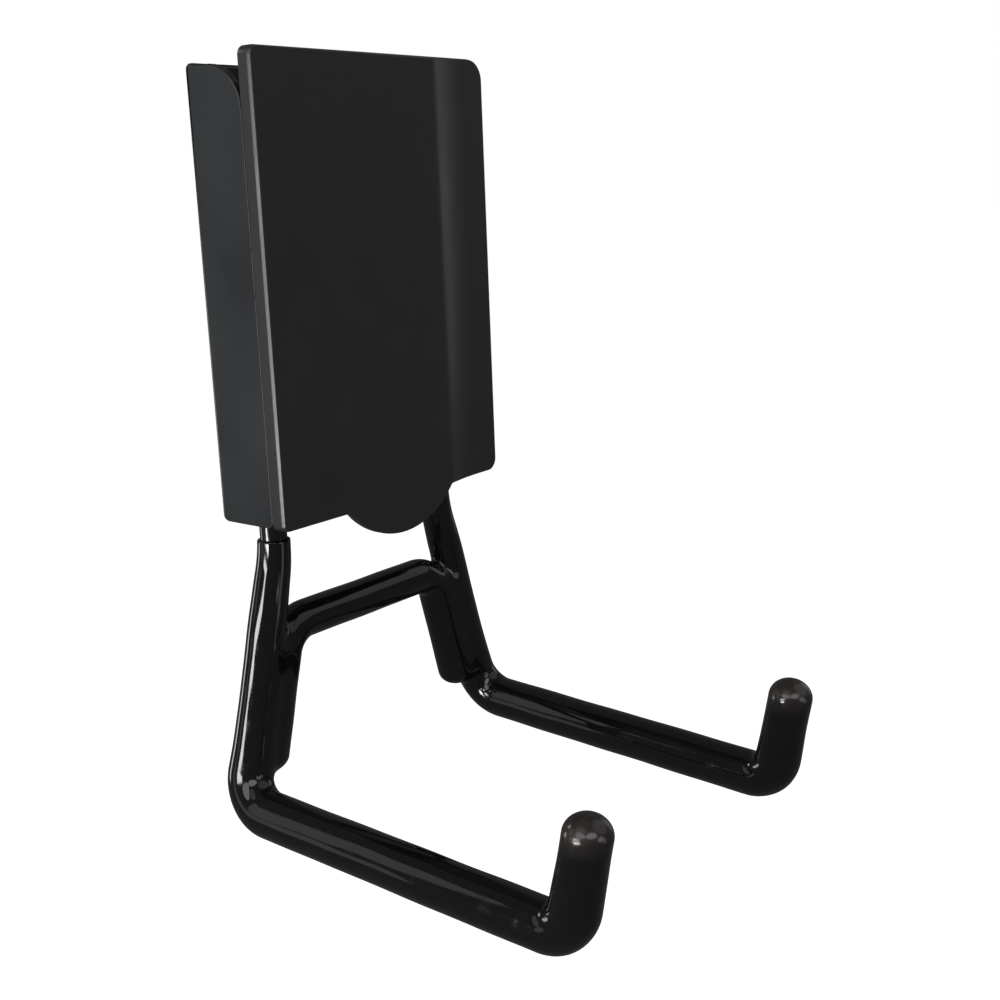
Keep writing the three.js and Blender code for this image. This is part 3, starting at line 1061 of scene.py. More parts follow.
@dataclass
class DippedSkin:
    """The one soft skin that the dip leaves on the frame, with webs where two rods lie close.

    It thickens and swells between two shares of a leg, and thins between two shares of an arm. Each of
    its swings is a share, the rates along X, Y and Z, and a phase.
    """

    rods: RodFrame = field(default_factory=RodFrame)
    dip_line_z: float = -43.7
    at_line: float = 0.65
    on_leg: float = 1.1
    on_arm: float = 1.9
    at_tip: float = 1.65
    on_brace: float = 1.2
    dome_flatten: float = 0.86
    fillet: float = 1.8
    web: float = 5.4
    web_from_z: float = -57.5
    web_full_z: float = -64
    lip: float = 0.5
    wave: float = 0.05
    grid: float = 0.55
    thickens: Span = (0, 0.3)
    swells: Span = (0.6, 1.05)
    thins: Span = (0.95, 1.15)
    swings: tuple[tuple[float, ...], ...] = (
        (1, 0.31, 0.17, 0.4, 0.7),
        (0.7, -0.22, 0.36, 0.21, 2.1),
        (0.5, 0.52, -0.43, 0.6, 4.0),
    )

    def side_distance(self, side: Side, points: np.ndarray) -> np.ndarray:
        """Measures points against the skin of one side rod.

        Args:
            side: which rod.
            points: one row each.

        Returns:
            Their distances, negative inside.
        """
        rods = self.rods
        line = self.lines[side]
        distance, station = line.reach(points, 1 / self.dome_flatten)
        dip = rods.top_z - self.dip_line_z
        leg = (self.dip_line_z - rods.elbow_z) / math.cos(math.atan(rods.slope))
        down = (station - dip) / leg
        out = (station - dip - leg) / rods.arm_length
        coat = self.at_line + (self.on_leg - self.at_line) * ease(down, *self.thickens)
        arm = self.on_arm + (self.at_tip - self.on_arm) * ease(out, *self.thins)
        coat = coat + (arm - coat) * ease(down, *self.swells)
        above = points[:, 2] - self.dip_line_z
        return -melt(-(distance - rods.radius - coat), -above, self.lip)

    def distance(self, points: np.ndarray) -> np.ndarray:
        """Measures points against the whole skin.

        Args:
            points: one row each.

        Returns:
            Their distances, negative inside.
        """
        brace, _ = self.brace.reach(points, 1 / self.dome_flatten)
        brace = brace - self.rods.radius - self.on_brace
        webbed = ease(-points[:, 2], -self.web_from_z, -self.web_full_z)
        size = self.fillet + (self.web - self.fillet) * webbed
        skin = melt(self.side_distance(Side.LEFT, points), brace, size)
        skin = melt(skin, self.side_distance(Side.RIGHT, points), size)
        return skin + self.wave * (1.5 + self.waves(points))

    def waves(self, points: np.ndarray) -> np.ndarray:
        """Gives the slow thick and thin places of the dip.

        Args:
            points: one row each.

        Returns:
            A value for each point, between about -1 and 1.
        """
        x, y, z = points.T
        total = sum(
            share * np.sin(a * x + b * y + c * z + phase) for share, a, b, c, phase in self.swings
        )
        return total / sum(share for share, *_ in self.swings)

    def slope(self, points: np.ndarray) -> np.ndarray:
        """Gives the outward slope of the skin's distance.

        Args:
            points: one row each.

        Returns:
            The slope at each point.
        """
        reach = 0.02
        steps = []
        for axis in np.eye(3) * reach:
            steps.append((self.distance(points + axis) - self.distance(points - axis)) / (2 * reach))
        return np.stack(steps, 1)

    def settle(self, points: np.ndarray, rounds: int) -> np.ndarray:
        """Moves points onto the skin.

        Args:
            points: one row each.
            rounds: how many steps they take.

        Returns:
            The moved points.
        """
        for _ in range(rounds):
            slope = self.slope(points)
            share = self.distance(points) / np.einsum("ij,ij->i", slope, slope)
            points = points - share[:, None] * slope
        return points

    def build(self, finish: bpy.types.Material) -> None:
        """Builds and dresses the skin.

        Args:
            finish: the PVC's material.
        """
        tip_dome = self.dome_flatten * (self.rods.radius + self.at_tip)
        brace_dome = self.dome_flatten * (self.rods.radius + self.on_brace)
        self.lines = {side: self.rods.side_line(side, tip_dome) for side in Side}
        self.brace = self.rods.brace_line(brace_dome)
        boxes = [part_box(node) for node in ("left_arm_coat", "right_arm_coat", "brace_coat")]
        low = np.min([tuple(box[0]) for box in boxes], axis=0) / MM
        high = np.max([tuple(box[1]) for box in boxes], axis=0) / MM
        points, quads = net_of(self.distance, low, high, self.grid)
        points = self.settle(points, 2)
        for _ in range(3):
            points = self.settle(relaxed(points, quads), 2)
        normals = self.slope(points)
        normals /= np.linalg.norm(normals, axis=1)[:, None]
        mesh = mesh_from("dipped_skin", points, quads)
        mesh.normals_split_custom_set_from_vertices(normals.tolist())
        skin = dress(make_object("dipped_skin", mesh), finish, Slot.PVC, Body.BRACKET)
        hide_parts("left_arm_coat", "right_arm_coat", "brace_coat")


def net_of(
    distance: Callable[[np.ndarray], np.ndarray], low: np.ndarray, high: np.ndarray, step: float
) -> Arrays:
    """Covers a shape, given as a distance, with a net of quads.

    Args:
        distance: gives the distance of each row of points, negative inside.
        low: the lowest corner of the shape's box.
        high: the highest corner.
        step: the mesh size of the net.

    Returns:
        The net's corners and its quads.
    """
    axes = [np.arange(a - 3 * step, b + 7 * step, step) for a, b in zip(low, high)]
    shape = tuple(len(axis) for axis in axes)
    grid = np.stack(np.meshgrid(*axes, indexing="ij"), -1)
    coarse = grid[::4, ::4, ::4]
    values = distance(coarse.reshape(-1, 3)).reshape(coarse.shape[:3])
    for axis in range(3):
        values = values.repeat(4, axis)
    values = values[: shape[0], : shape[1], : shape[2]].copy()
    near = np.abs(values) < 8 * step
    values[near] = distance(grid[near])
    inside = values < 0

    corners = np.zeros(tuple(n - 1 for n in shape), int)
    for i in (0, 1):
        for j in (0, 1):
            for k in (0, 1):
                corners += inside[i : shape[0] - 1 + i, j : shape[1] - 1 + j, k : shape[2] - 1 + k]
    crossed = (corners > 0) & (corners < 8)
    number = np.full(crossed.shape, -1)
    number[crossed] = np.arange(crossed.sum())
    points = grid[:-1, :-1, :-1][crossed] + step / 2

    quads = []
    for axis in range(3):
        second, third = (axis + 1) % 3, (axis + 2) % 3
        ahead = np.roll(inside, -1, axis)
        cut = inside != ahead
        cut[tuple(slice(-1, None) if a == axis else slice(None) for a in range(3))] = False
        at = np.argwhere(cut)
        ring = []
        for back_second, back_third in ((1, 1), (0, 1), (0, 0), (1, 0)):
            cell = at.copy()
            cell[:, second] -= back_second
            cell[:, third] -= back_third
            ring.append(number[tuple(cell.T)])
        ring = np.stack(ring, 1)
        outward = inside[tuple(at.T)]
        quads.append(np.where(outward[:, None], ring, ring[:, ::-1]))
    return points, np.concatenate(quads)


def relaxed(points: np.ndarray, quads: np.ndarray) -> np.ndarray:
    """Moves each corner of a net to the middle of the quads round it.

    Args:
        points: the net's corners.
        quads: the corner numbers of its quads.

    Returns:
        The moved corners.
    """
    middles = points[quads].mean(1)
    total = np.zeros_like(points)
    count = np.zeros(len(points))
    for corner in quads.T:
        np.add.at(total, corner, middles)
        np.add.at(count, corner, 1)
    return total / count[:, None]


# ---- the bracket --------------------------------------------------------------------------------------


@dataclass(frozen=True)
class ChannelBracket:
    """The folded channel that screws to the wall, and the cross rod that the cover hangs on."""

    sheet: float = 1.6
    fold: float = 0.9
    inner_fold: float = 0.3
    front_corner: float = 8
    corner: float = 1.2
    rear_corner: float = 2
    plate_rise: float = 0.4
    plate_rise_end: float = 2.4
    plate_rise_run: float = 0.7
    plate_rise_round: float = 0.9
    edge: float = 0.55
    small_edge: float = 0.15
    screw_pitch: float = 44
    screw_hole: float = 2.75
    screw_sink: float = 4.1
    rod_radius: float = 1.5
    weld_radius: float = 2.5
    gap: float = 0.3

    @property
    def half_width(self) -> float:
        """Half the channel's width."""
        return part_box("wall_bracket")[1].x / MM

    @property
    def top(self) -> float:
        """The height of its side walls' upper edges."""
        return -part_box("wall_bracket")[0].z / MM

    @property
    def depth(self) -> float:
        """How far its side walls stand out from the wall."""
        return -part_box("wall_bracket")[0].y / MM

    @property
    def hinge(self) -> tuple[float, float]:
        """Y and Z of the cross rod, at the centre of the side walls' large corners."""
        return self.front_corner - self.depth, self.top - self.front_corner

    def channel(self) -> Piece:
        """Makes the folded channel.

        Returns:
            The channel, with its screw holes cut and its edges rounded.
        """
        half, depth, top = self.half_width, self.depth, self.top
        inside = half - self.sheet
        section = rounded_outline(
            [
                (-half, -depth - 1, 0),
                (-inside, -depth - 1, 0),
                (-inside, -self.sheet, self.inner_fold),
                (inside, -self.sheet, self.inner_fold),
                (inside, -depth - 1, 0),
                (half, -depth - 1, 0),
                (half, 0, self.fold),
                (-half, 0, self.fold),
            ],
            15,
        )
        low, high = self.rear_corner - top, top + self.plate_rise - self.corner
        run, hair = self.plate_rise_run, 0.001
        profile = rounded_outline(
            [
                (-depth, -top, self.corner),
                (0, -top, self.rear_corner),
                (0, low + hair, 0),
                (1, low, 0),
                (1, high, 0),
                (0, high - hair, 0),
                (0, top + self.plate_rise, self.corner),
                (run - self.plate_rise_end, top + self.plate_rise, self.plate_rise_round),
                (-self.plate_rise_end - run, top, self.plate_rise_round),
                (-depth, top, self.front_corner),
            ],
            5,
        )
        folded = prism("folded_channel", section, Plane.PLAN, -top - 1, top + 2)
        trim = prism("side_profile", profile, Plane.PROFILE, -half - 1, half + 1)
        carve(folded, trim, "INTERSECT")
        for z in (-self.screw_pitch / 2, self.screw_pitch / 2):
            carve(folded, self.screw_cutter(z))
        return soften(folded, self.edge, 4, self.edge_width)

    def edge_width(self, edge: bmesh.types.BMEdge) -> float:
        """Tells how wide an edge's rounding is. It widens round the large corner to its full width.

        Args:
            edge: the sharp edge.

        Returns:
            Its width in millimetres.
        """
        middle = (edge.verts[0].co + edge.verts[1].co) / (2 * MM)
        near = math.hypot(middle.x, abs(middle.z) - self.screw_pitch / 2) < self.screw_sink + 1
        y, z = self.hinge
        if near or middle.z < z:
            return self.small_edge
        turned = 1 - math.atan2(max(y - middle.y, 0), middle.z - z) / (math.pi / 2)
        return self.small_edge + (self.edge - self.small_edge) * turned

    def screw_cutter(self, z: float) -> Piece:
        """Makes the cutter for one countersunk screw hole.

        Args:
            z: the hole's height.

        Returns:
            The cutter as an object.
        """
        sink = self.screw_sink - self.screw_hole
        profile = [
            (0, -1),
            (self.screw_hole, -1),
            (self.screw_hole, self.sheet - sink),
            (self.screw_sink, self.sheet),
            (self.screw_sink, self.sheet + 1),
            (0, self.sheet + 1),
        ]
        return lathe("screw_cutter", profile, quarter_turn((0, 0, z), "X"))

    def cross_rod(self) -> Piece:
        """Makes the cross rod.

        Returns:
            The rod with a weld fillet at each end.
        """
        reach = self.half_width - self.sheet - self.gap
        weld = self.weld_radius - self.rod_radius
        half = [(0.0, reach)]
        for i in range(9):
            angle = math.pi / 2 * i / 8
            half.append((self.weld_radius - weld * math.sin(angle), reach - weld * (1 - math.cos(angle))))
        profile = half + [(radius, -x) for radius, x in reversed(half)]
        return lathe("cross_rod", profile, quarter_turn((0, *self.hinge), "Y"))

    def build(self, finish: bpy.types.Material) -> None:
        """Builds and dresses the bracket and its cross rod.

        Args:
            finish: the powder coat.
        """
        channel = dress(self.channel(), finish, Slot.STEEL, Body.BRACKET)
        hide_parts("wall_bracket")
        rod = dress(self.cross_rod(), finish, Slot.STEEL, Body.BRACKET)
        rod.data.set_sharp_from_angle(angle=math.radians(50))
        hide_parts("hinge_rod")


# ---- the cover ----------------------------------------------------------------------------------------


@dataclass(frozen=True)
class SnapCover:
    """The moulded cover: a shallow shell with a creased face, a finger tab, ribs, lips and two clips.

    Each of the gate's rings is a share of its radius and a depth. The first lies outside the face, so that
    the cut crosses the face at a slant and leaves a closed mesh.
    """

    bracket: ChannelBracket = field(default_factory=ChannelBracket)
    height: float = 81
    overhang: float = 2.3
    front: float = 16.4
    seam: float = 0.05
    wall: float = 1.5
    crease_x: float = 14.6
    crease_drop: float = 1.4
    crease_slope: float = 0.19
    crease_round: float = 1.8
    crease_hold: float = 1.6
    crease_ease: float = 7.4
    edge: float = 0.12
    turn_in: float = 17
    turn_in_flat: float = 0.6
    turn_in_depth: float = 0.9
    tab_x: float = 0.2
    tab_half_chord: float = 14.4
    tab_depth: float = 6.6
    tab_thickness: float = 1.5
    tab_root: float = 1.2
    lip_thickness: float = 1
    lip_reach: float = 3.4
    lip_sinks: Span = (0.2, 0.3)
    lip_edge: float = 0.18
    rib_thickness: float = 0.9
    rib_reach: float = 1.2
    rib_xs: tuple[int, ...] = (-9, 9)
    rib_zs: tuple[int, ...] = (-26, 0, 22)
    rib_edge: float = 0.12
    clip_width: float = 6
    clip_spacing: float = 24
    clip_outer: float = 3
    clip_mouth: float = 2.5
    clip_edge: float = 0.15
    gate_x: float = -9.4
    gate_z: float = 17.4
    gate_radius: float = 0.8
    gate_rings: tuple[Point, ...] = (
        (1.18, -0.01),
        (0.82, 0.01),
        (0.62, 0.017),
        (0.42, 0.012),
        (0.25, 0.004),
        (0, 0.002),
    )

    @property
    def half(self) -> float:
        """Half the cover's width."""
        return self.bracket.half_width

    @property
    def top(self) -> float:
        """The height of its upper edge."""
        return self.bracket.top + self.overhang

    @property
    def bottom(self) -> float:
        """The height of its lower edge, above the tab."""
        return self.top - self.height

    @property
    def rear(self) -> float:
        """Y of its rim, just clear of the side walls."""
        return -(self.bracket.depth + self.seam)

    @property
    def floor(self) -> float:
        """Y of the inner side of its face."""
        return -(self.front - self.wall)

    def profile(self) -> tuple[np.ndarray, np.ndarray, np.ndarray]:
        """Works out how the face falls away beside the crease.

        The slope rises over the rounded crease, holds, and eases off towards the right edge.

        Returns:
            X, the drop and the slope along the stretch, in millimetres.
        """
        start = self.crease_x - self.crease_round / 2
        turns = start + np.cumsum([0, self.crease_round, self.crease_hold, self.crease_ease])
        steep = self.crease_slope * (self.crease_round / 2 + self.crease_hold + self.crease_ease / 2)
        far = (self.crease_drop - steep) / (self.crease_ease / 2 + self.half - turns[-1])
        x = np.append(np.linspace(start, turns[-1], 52), self.half)
        slope = np.interp(x, turns, [0, self.crease_slope, self.crease_slope, far])
        drop = np.concatenate([[0], np.cumsum((slope[1:] + slope[:-1]) / 2 * np.diff(x))])
        return x, drop, slope

    def fall(self, face_y: float, right: float) -> list[Point]:
        """Draws the stretch of a plan section right of the crease, as a smooth curve.

        Args:
            face_y: Y of the flat part of the face.
            right: X where the curve ends.

        Returns:
            Its points, from the crease to the right.
        """
        x, drop, _ = self.profile()
        curve = [(float(a), face_y + float(b)) for a, b in zip(x[:-1], drop[:-1])]
        curve.append((right, face_y + float(np.interp(right, x, drop))))
        return curve

    def true_face(self, shell: Piece) -> None:
        """Lets the face shade as the exact curve that it stands for.

        Args:
            shell: the finished shell.
        """
        x, drop, slope = self.profile()
        mesh = shell.data
        normals = [corner.vector.copy() for corner in mesh.corner_normals]
        for face in mesh.polygons:
            if face.normal.y > -0.96:
                continue
            for corner in face.loop_indices:
                place = mesh.vertices[mesh.loops[corner].vertex_index].co / MM
                if abs(place.y + self.front - np.interp(place.x, x, drop)) < 0.012:
                    normals[corner] = Vector((float(np.interp(place.x, x, slope)), -1, 0)).normalized()
        mesh.normals_split_custom_set(normals)

    def shell(self) -> Piece:
        """Makes the shell.

        Returns:
            Its face, rim and tab as one object.
        """
        half, top, bottom = self.half, self.top, self.bottom
        face = self.fall(-self.front, half)
        plan = [(-half, self.rear), (-half, -self.front), *face, (half, self.rear)]
        body = prism("cover_shell", plan, Plane.PLAN, bottom - self.tab_depth - 1, top + 1)
        front, back = -self.front - 1.5, -self.front + self.tab_thickness
        outline = carve(self.sides(), prism("tab", self.tab_outline(), Plane.FRONT, front, back), "UNION")
        carve(body, outline, "INTERSECT")
        inner = half - self.wall
        face = self.fall(self.floor, inner)
        hollow_plan = [(-inner, self.rear + 1), (-inner, self.floor), *face, (inner, self.rear + 1)]
        hollow = prism("hollow", hollow_plan, Plane.PLAN, bottom - 1, top + 1)
        inner_outline = [
            (-inner, bottom + self.wall, 0.5),
            (inner, bottom + self.wall, 1.2),
            (inner, top - self.wall, 2.6),
            (-inner, top - self.wall, 0.6),
        ]
        inner_outline = rounded_outline(inner_outline, 15)
        inner_form = prism("inner", inner_outline, Plane.FRONT, -self.front - 1, self.rear + 2)
        carve(hollow, inner_form, "INTERSECT")
        carve(body, hollow)
        return soften(body, self.edge, 3)

    def sides(self) -> Piece:
        """Makes the form that trims the shell's outline: its sides turn in a little next to the face.

        Returns:
            The form, which follows the face where it falls away.
        """
        half, top, bottom = self.half, self.top, self.bottom
        x, drop, _ = self.profile()
        turn = math.radians(self.turn_in)
        radius = (self.turn_in_depth - self.turn_in_flat) / math.sin(turn)
        curl = []
        for angle in np.linspace(0, turn, 5):
            curl.append((self.turn_in_depth - radius * math.sin(angle), radius * (1 - math.cos(angle))))
        curl.append((0.0, curl[-1][1] + self.turn_in_flat * math.tan(turn)))
        end_inset = curl[-1][1] + math.tan(turn)
        ends = [(-1.0, end_inset), (-3.0, end_inset)]
        points, rings = [], []
        for depth, inset in [(self.rear + self.front + 1, 0.0), *curl, *ends]:
            outline = rounded_outline(
                [
                    (-half + inset, bottom, 1),
                    (half - inset, bottom, 2.4),
                    (half - inset, top - inset, 4 - inset),
                    (-half + inset, top - inset, 1.6 - inset),
                ],
                6,
            )
            rings.append(list(range(len(points), len(points) + len(outline))))
            follows = -2 < depth < self.rear + self.front
            for a, b in outline:
                fallen = float(np.interp(a, x, drop)) if follows else 0
                points.append((a, depth - self.front + fallen, b))
        return solid("sides", points, [rings[0], rings[-1][::-1], *ring_faces(rings)])

    def tab_outline(self) -> list[Point]:
        """Draws the half-round finger tab with the fillets at its root.

        Returns:
            The outline's points in order, as X and Z.
        """
        radius = (self.tab_half_chord**2 + self.tab_depth**2) / (2 * self.tab_depth)
        centre_z = self.bottom - self.tab_depth + radius
        fillet_z = self.bottom - self.tab_root
        fillet_x = math.sqrt((radius + self.tab_root) ** 2 - (centre_z - fillet_z) ** 2)
        touch = math.atan2(fillet_z - centre_z, fillet_x)
        right = [(fillet_x, self.bottom + 1)]
        for i in range(1, 9):
            angle = math.pi / 2 + (math.pi / 2 + touch) * i / 8
            across = fillet_x + self.tab_root * math.cos(angle)
            right.append((across, fillet_z + self.tab_root * math.sin(angle)))
        for i in range(1, 25):
            angle = touch + (-math.pi / 2 - touch) * i / 24
            right.append((radius * math.cos(angle), centre_z + radius * math.sin(angle)))
        left = [(-x, z) for x, z in reversed(right[:-1])]
        return [(self.tab_x + x, z) for x, z in right + left]

    def ribs(self) -> list[Piece]:
        """Makes the stiffening ribs behind the face.

        Returns:
            The ribs, one object each.
        """
        low, high = self.floor - 0.4, self.rear + self.rib_reach
        thick = self.rib_thickness / 2
        _, hinge_z = self.bracket.hinge
        side = self.half - self.wall - 0.9
        parts = []
        for x in self.rib_xs:
            outline = [(x - thick, low), (x + thick, low), (x + thick, high), (x - thick, high)]
            parts.append(prism(f"rib_{x}", outline, Plane.PLAN, self.bottom + 1, hinge_z - 2))
        for z in self.rib_zs:
            outline = [(-side, low), (self.crease_x, low), (self.crease_x, high), (-side, high)]
            parts.append(prism(f"rib_{z}", outline, Plane.PLAN, z - thick, z + thick))
        return [soften(part, self.rib_edge, 2) for part in parts]

    def lips(self) -> list[Piece]:
        """Makes the two lips that centre the closed cover between the side walls.

        Returns:
            The lips, the left one first.
        """
        outer = self.half - self.bracket.sheet - self.bracket.gap
        tip = self.rear + self.lip_reach
        _, hinge_z = self.bracket.hinge
        parts = []
        left_sink, right_sink = self.lip_sinks
        left = (self.floor - left_sink, -outer)
        right = (self.floor + self.crease_drop - right_sink, outer - self.lip_thickness)
        for root, low in (left, right):
            profile = rounded_outline(
                [
                    (root, self.bottom + 2, 0),
                    (tip, self.bottom + 4, 1.5),
                    (tip, hinge_z - 11, 1.5),
                    (root, hinge_z - 7, 0),
                ]
            )
            lip = prism("lip", profile, Plane.PROFILE, low, low + self.lip_thickness)
            parts.append(soften(lip, self.lip_edge, 2))
        return parts

    def clip(self, x: float) -> Piece:
        """Makes one snap clip with its arm.

        Args:
            x: the clip's middle.

        Returns:
            The clip as an object.
        """
        y, z = self.bracket.hinge
        inner = self.bracket.rod_radius + self.bracket.gap + 0.05
        mouth = math.asin(self.clip_mouth / 2 / inner)
        outline = [(self.floor - 0.5, z - self.clip_outer)]
        outline += arc(y, z, self.clip_outer, -math.pi / 2, -mouth, 8)
        outline += arc(y, z, inner, -mouth, mouth - 2 * math.pi, 40)
        outline += arc(y, z, self.clip_outer, mouth, math.pi / 2, 8)
        outline.append((self.floor - 0.5, z + self.clip_outer))
        clip = prism("clip", outline, Plane.PROFILE, x - self.clip_width / 2, x + self.clip_width / 2)
        return soften(clip, self.clip_edge, 2)

    def build(self, finish: bpy.types.Material) -> None:
        """Builds and dresses the cover.

        Args:
            finish: the plastic's material.
        """
        shell = self.shell()
        rings = [(share * self.gate_radius, depth) for share, depth in self.gate_rings]
        turned = quarter_turn((self.gate_x, -self.front, self.gate_z), "X", -1)
        even_out(carve(shell, lathe("gate", [(0, -0.5), (rings[0][0], -0.5), *rings], turned, 24)))
        self.true_face(shell)
        dress(shell, finish, Slot.PLASTIC, Body.COVER)
        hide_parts("front_cover")
        inside = {
            "cover_ribs": self.ribs(),
            "cover_lips": self.lips(),
            "cover_clips": [self.clip(x) for x in (-self.clip_spacing / 2, self.clip_spacing / 2)],
        }
        for name, parts in inside.items():
            dress(join(name, parts), finish, Slot.PLASTIC, Body.COVER)


def arc(x: float, y: float, radius: float, start: float, end: float, steps: int) -> list[Point]:
    """Draws an arc.

    Args:
        x: its centre on the first axis.
        y: its centre on the second axis.
        radius: its radius.
        start: the angle where it starts, in radians.
        end: the angle where it ends.
        steps: the number of stretches.

    Returns:
        Its points, both ends included.
    """
    angles = [start + (end - start) * i / steps for i in range(steps + 1)]
    return [(x + radius * math.cos(a), y + radius * math.sin(a)) for a in angles]


# ---- the studio ---------------------------------------------------------------------------------------


@dataclass(frozen=True)
class Lamp:
    """A soft lamp, placed by how a point of the object sees it.

    The bearing is 0 towards +X and 90 towards the wall, and the rise is above level, both in degrees.
    The two spreads are the angles that the lamp takes up there.
    """

    name: str
    bearing: float
    rise: float
    distance: float
    wide: float
    tall: float
    radiance: float
    aim: tuple[float, float, float] = (0, -0.03, -0.03)
    roll: float = 0
    shape: str = "ELLIPSE"

    @property
    def place(self) -> Vector:
        """Where the lamp stands."""
        turn, rise = math.radians(self.bearing), math.radians(self.rise)
        level = math.cos(rise)
        toward = Vector((level * math.cos(turn), level * math.sin(turn), math.sin(rise)))
        return Vector(self.aim) + self.distance * toward

    def build(self) -> Piece:
        """Puts the lamp up.

        Returns:
            The lamp.
        """
        data = bpy.data.lights.new(self.name, "AREA")
        data.shape = self.shape
        data.size = 2 * self.distance * math.tan(math.radians(self.wide / 2))
        data.size_y = 2 * self.distance * math.tan(math.radians(self.tall / 2))
        share = math.pi / 4 if self.shape == "ELLIPSE" else 1
        data.energy = self.radiance * math.pi * data.size * data.size_y * share
        lamp = bpy.data.objects.new(self.name, data)
        bpy.context.scene.collection.objects.link(lamp)
        lamp.location = self.place
        lamp.rotation_mode = "QUATERNION"
        facing = (Vector(self.aim) - self.place).to_track_quat("-Z", "Y")
        lamp.rotation_quaternion = facing @ Quaternion((0, 0, 1), math.radians(self.roll))
        LOG.info("%s: %.2f W", self.name, data.energy)
        return lamp


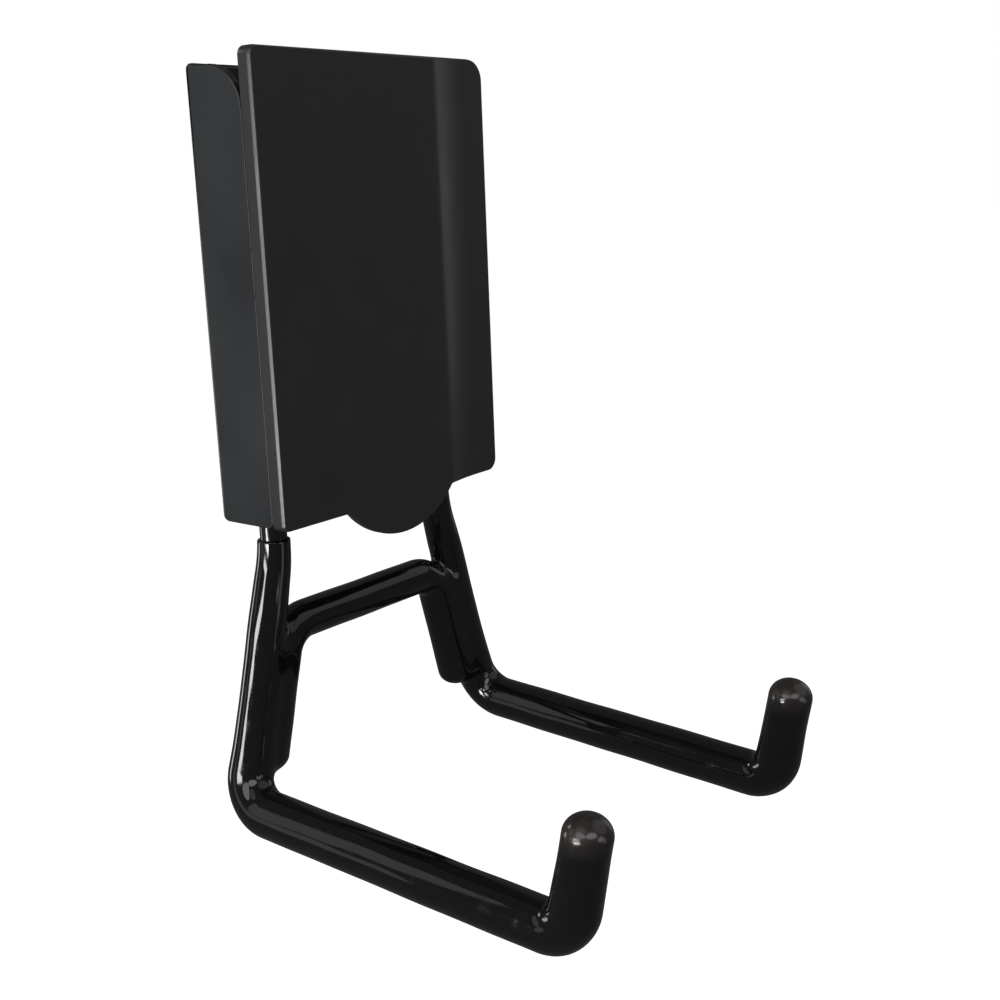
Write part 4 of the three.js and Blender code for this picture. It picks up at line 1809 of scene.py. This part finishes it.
@dataclass(frozen=True)
class Studio:
    """The pale floor, the white surround, the lamps and the camera."""

    eye: tuple[float, float, float] = (-0.187006, -0.189282, 0.019145)
    azimuth: float = -51.382
    elevation: float = 13.235
    roll: float = -2.177
    lens: float = 49.36
    floor_z: float = -0.24
    floor_size: float = 6.0
    floor_colour: float = 0.35
    glow: float = 0.92
    reflected: float = 0.1
    ambient: float = 0.3

    def background(self, graph: Graph, camera_share: float) -> bpy.types.NodeSocket:
        """Works out how strongly the white surround shows to a ray.

        Args:
            graph: the floor's or the world's node tree.
            camera_share: its strength to the camera and through glass.

        Returns:
            The strength's socket.
        """
        path = graph.add("LightPath", {}).outputs
        seen = graph.math("MAXIMUM", path["Is Camera Ray"], path["Is Transmission Ray"])
        direct = graph.math("MULTIPLY", seen, camera_share)
        mirrored = graph.math("MULTIPLY", path["Is Glossy Ray"], self.reflected)
        return graph.math("MAXIMUM", direct, mirrored)

    def world(self) -> None:
        """Sets the white surround."""
        world = bpy.data.worlds.new("studio")
        bpy.context.scene.world = world
        graph = Graph(world)
        sky = graph.first("BACKGROUND").inputs
        sky["Color"].default_value = WHITE
        path = graph.add("LightPath", {}).outputs
        diffuse = graph.math("MULTIPLY", path["Is Diffuse Ray"], self.ambient)
        graph.feed(sky["Strength"], graph.math("ADD", self.background(graph, 1), diffuse))

    def floor(self) -> None:
        """Lays the pale floor, which keeps the hanger's shadow."""
        half = self.floor_size / 2
        corners = [(-half, -half), (half, -half), (half, half), (-half, half)]
        points = np.array([(x, y, self.floor_z) for x, y in corners]) / MM
        floor = make_object("floor", mesh_from("floor", points, [[0, 1, 2, 3]]))
        material = bpy.data.materials.new("pale_floor")
        graph = Graph(material)
        graph.tree.nodes.clear()
        matt = graph.add("BsdfDiffuse", {"Color": (*[self.floor_colour] * 3, 1)})
        glow = graph.add("Emission", {"Color": WHITE, "Strength": self.background(graph, self.glow)})
        both = graph.add("AddShader", {0: matt.outputs[0], 1: glow.outputs[0]})
        mirrored = graph.add("Emission", {"Strength": self.reflected})
        glossy = graph.add("LightPath", {}).outputs["Is Glossy Ray"]
        choice = graph.add("MixShader", {0: glossy, 1: both.outputs[0], 2: mirrored.outputs[0]})
        graph.add("OutputMaterial", {"Surface": choice.outputs[0]})
        floor.data.materials.append(material)

    def camera(self) -> None:
        """Sets the camera up."""
        a, e, r = (math.radians(v) for v in (self.azimuth, self.elevation, self.roll))
        back = Vector((math.sin(a) * math.cos(e), -math.cos(a) * math.cos(e), math.sin(e)))
        level = Vector((0, 0, 1)).cross(back).normalized()
        upright = back.cross(level)
        right = math.cos(r) * level + math.sin(r) * upright
        up = math.cos(r) * upright - math.sin(r) * level
        data = bpy.data.cameras.new("camera")
        data.lens = self.lens
        data.sensor_width = 36
        data.clip_start = 0.01
        data.clip_end = 20
        camera = bpy.data.objects.new("camera", data)
        bpy.context.scene.collection.objects.link(camera)
        turn = Matrix((right, up, back)).transposed().to_4x4()
        camera.matrix_world = Matrix.Translation(self.eye) @ turn
        bpy.context.scene.camera = camera

    def lamps(self) -> list[Lamp]:
        """Lists the lamps.

        Returns:
            The windows that make the sharp white lines first, then the broad ones.
        """
        leg = (-0.03, -0.005, -0.065)
        rim = (-0.025, -0.02, -0.03)
        return [
            Lamp("window", 172, 9, 0.6, 28, 7.5, 14.0, leg, 22, "RECTANGLE"),
            Lamp("low_window", 174.5, -10.5, 0.6, 28, 8, 24.0, rim, 22, "RECTANGLE"),
            Lamp("side_box", 184, 32, 0.8, 46, 25, 2.3),
            Lamp("front_box", 238, 34, 0.9, 44, 26, 2.4),
            Lamp("front_panel", 272, 8, 0.9, 26, 22, 1.5),
            Lamp("front_strip", 286, -5, 0.9, 15, 18, 0.75, shape="RECTANGLE"),
            Lamp("right_panel", 350, 8, 0.8, 24, 36, 0.48),
            Lamp("right_top", 312, 42, 0.9, 60, 50, 0.4),
            Lamp("back_panel", 110, -8, 0.8, 10, 22, 4.4),
            Lamp("back_spot", 106, 26, 0.8, 12, 12, 4.7),
            Lamp("back_fill", 137, 22, 0.8, 18, 40, 0.55),
            Lamp("side_fill", 141, -7, 0.8, 14, 16, 0.5),
            Lamp("top_fill", 180, 57, 0.8, 40, 24, 0.5),
        ]

    def build(self) -> None:
        """Sets up the whole studio."""
        bpy.context.scene.view_settings.view_transform = "Standard"
        self.world()
        self.floor()
        self.camera()
        for lamp in self.lamps():
            lamp.build()


# ---- the scene ----------------------------------------------------------------------------------------


def main() -> None:
    """Builds the studio and every piece."""
    logging.basicConfig(level=logging.INFO, format="%(name)s %(message)s")
    Studio().build()
    powder = PowderCoat().build()
    plastic = MouldedPlastic().build()
    rods = RodFrame()
    tip_y, tip_z = rods.tip()
    pvc = DippedPvc(tip_y=tip_y, tip_z=tip_z).build()
    paint = RodPaint().build()
    bracket = ChannelBracket()
    bracket.build(powder)
    SnapCover(bracket).build(plastic)
    rods.build(paint)
    DippedSkin(rods).build(pvc)


if __name__ == "__main__":
    main()
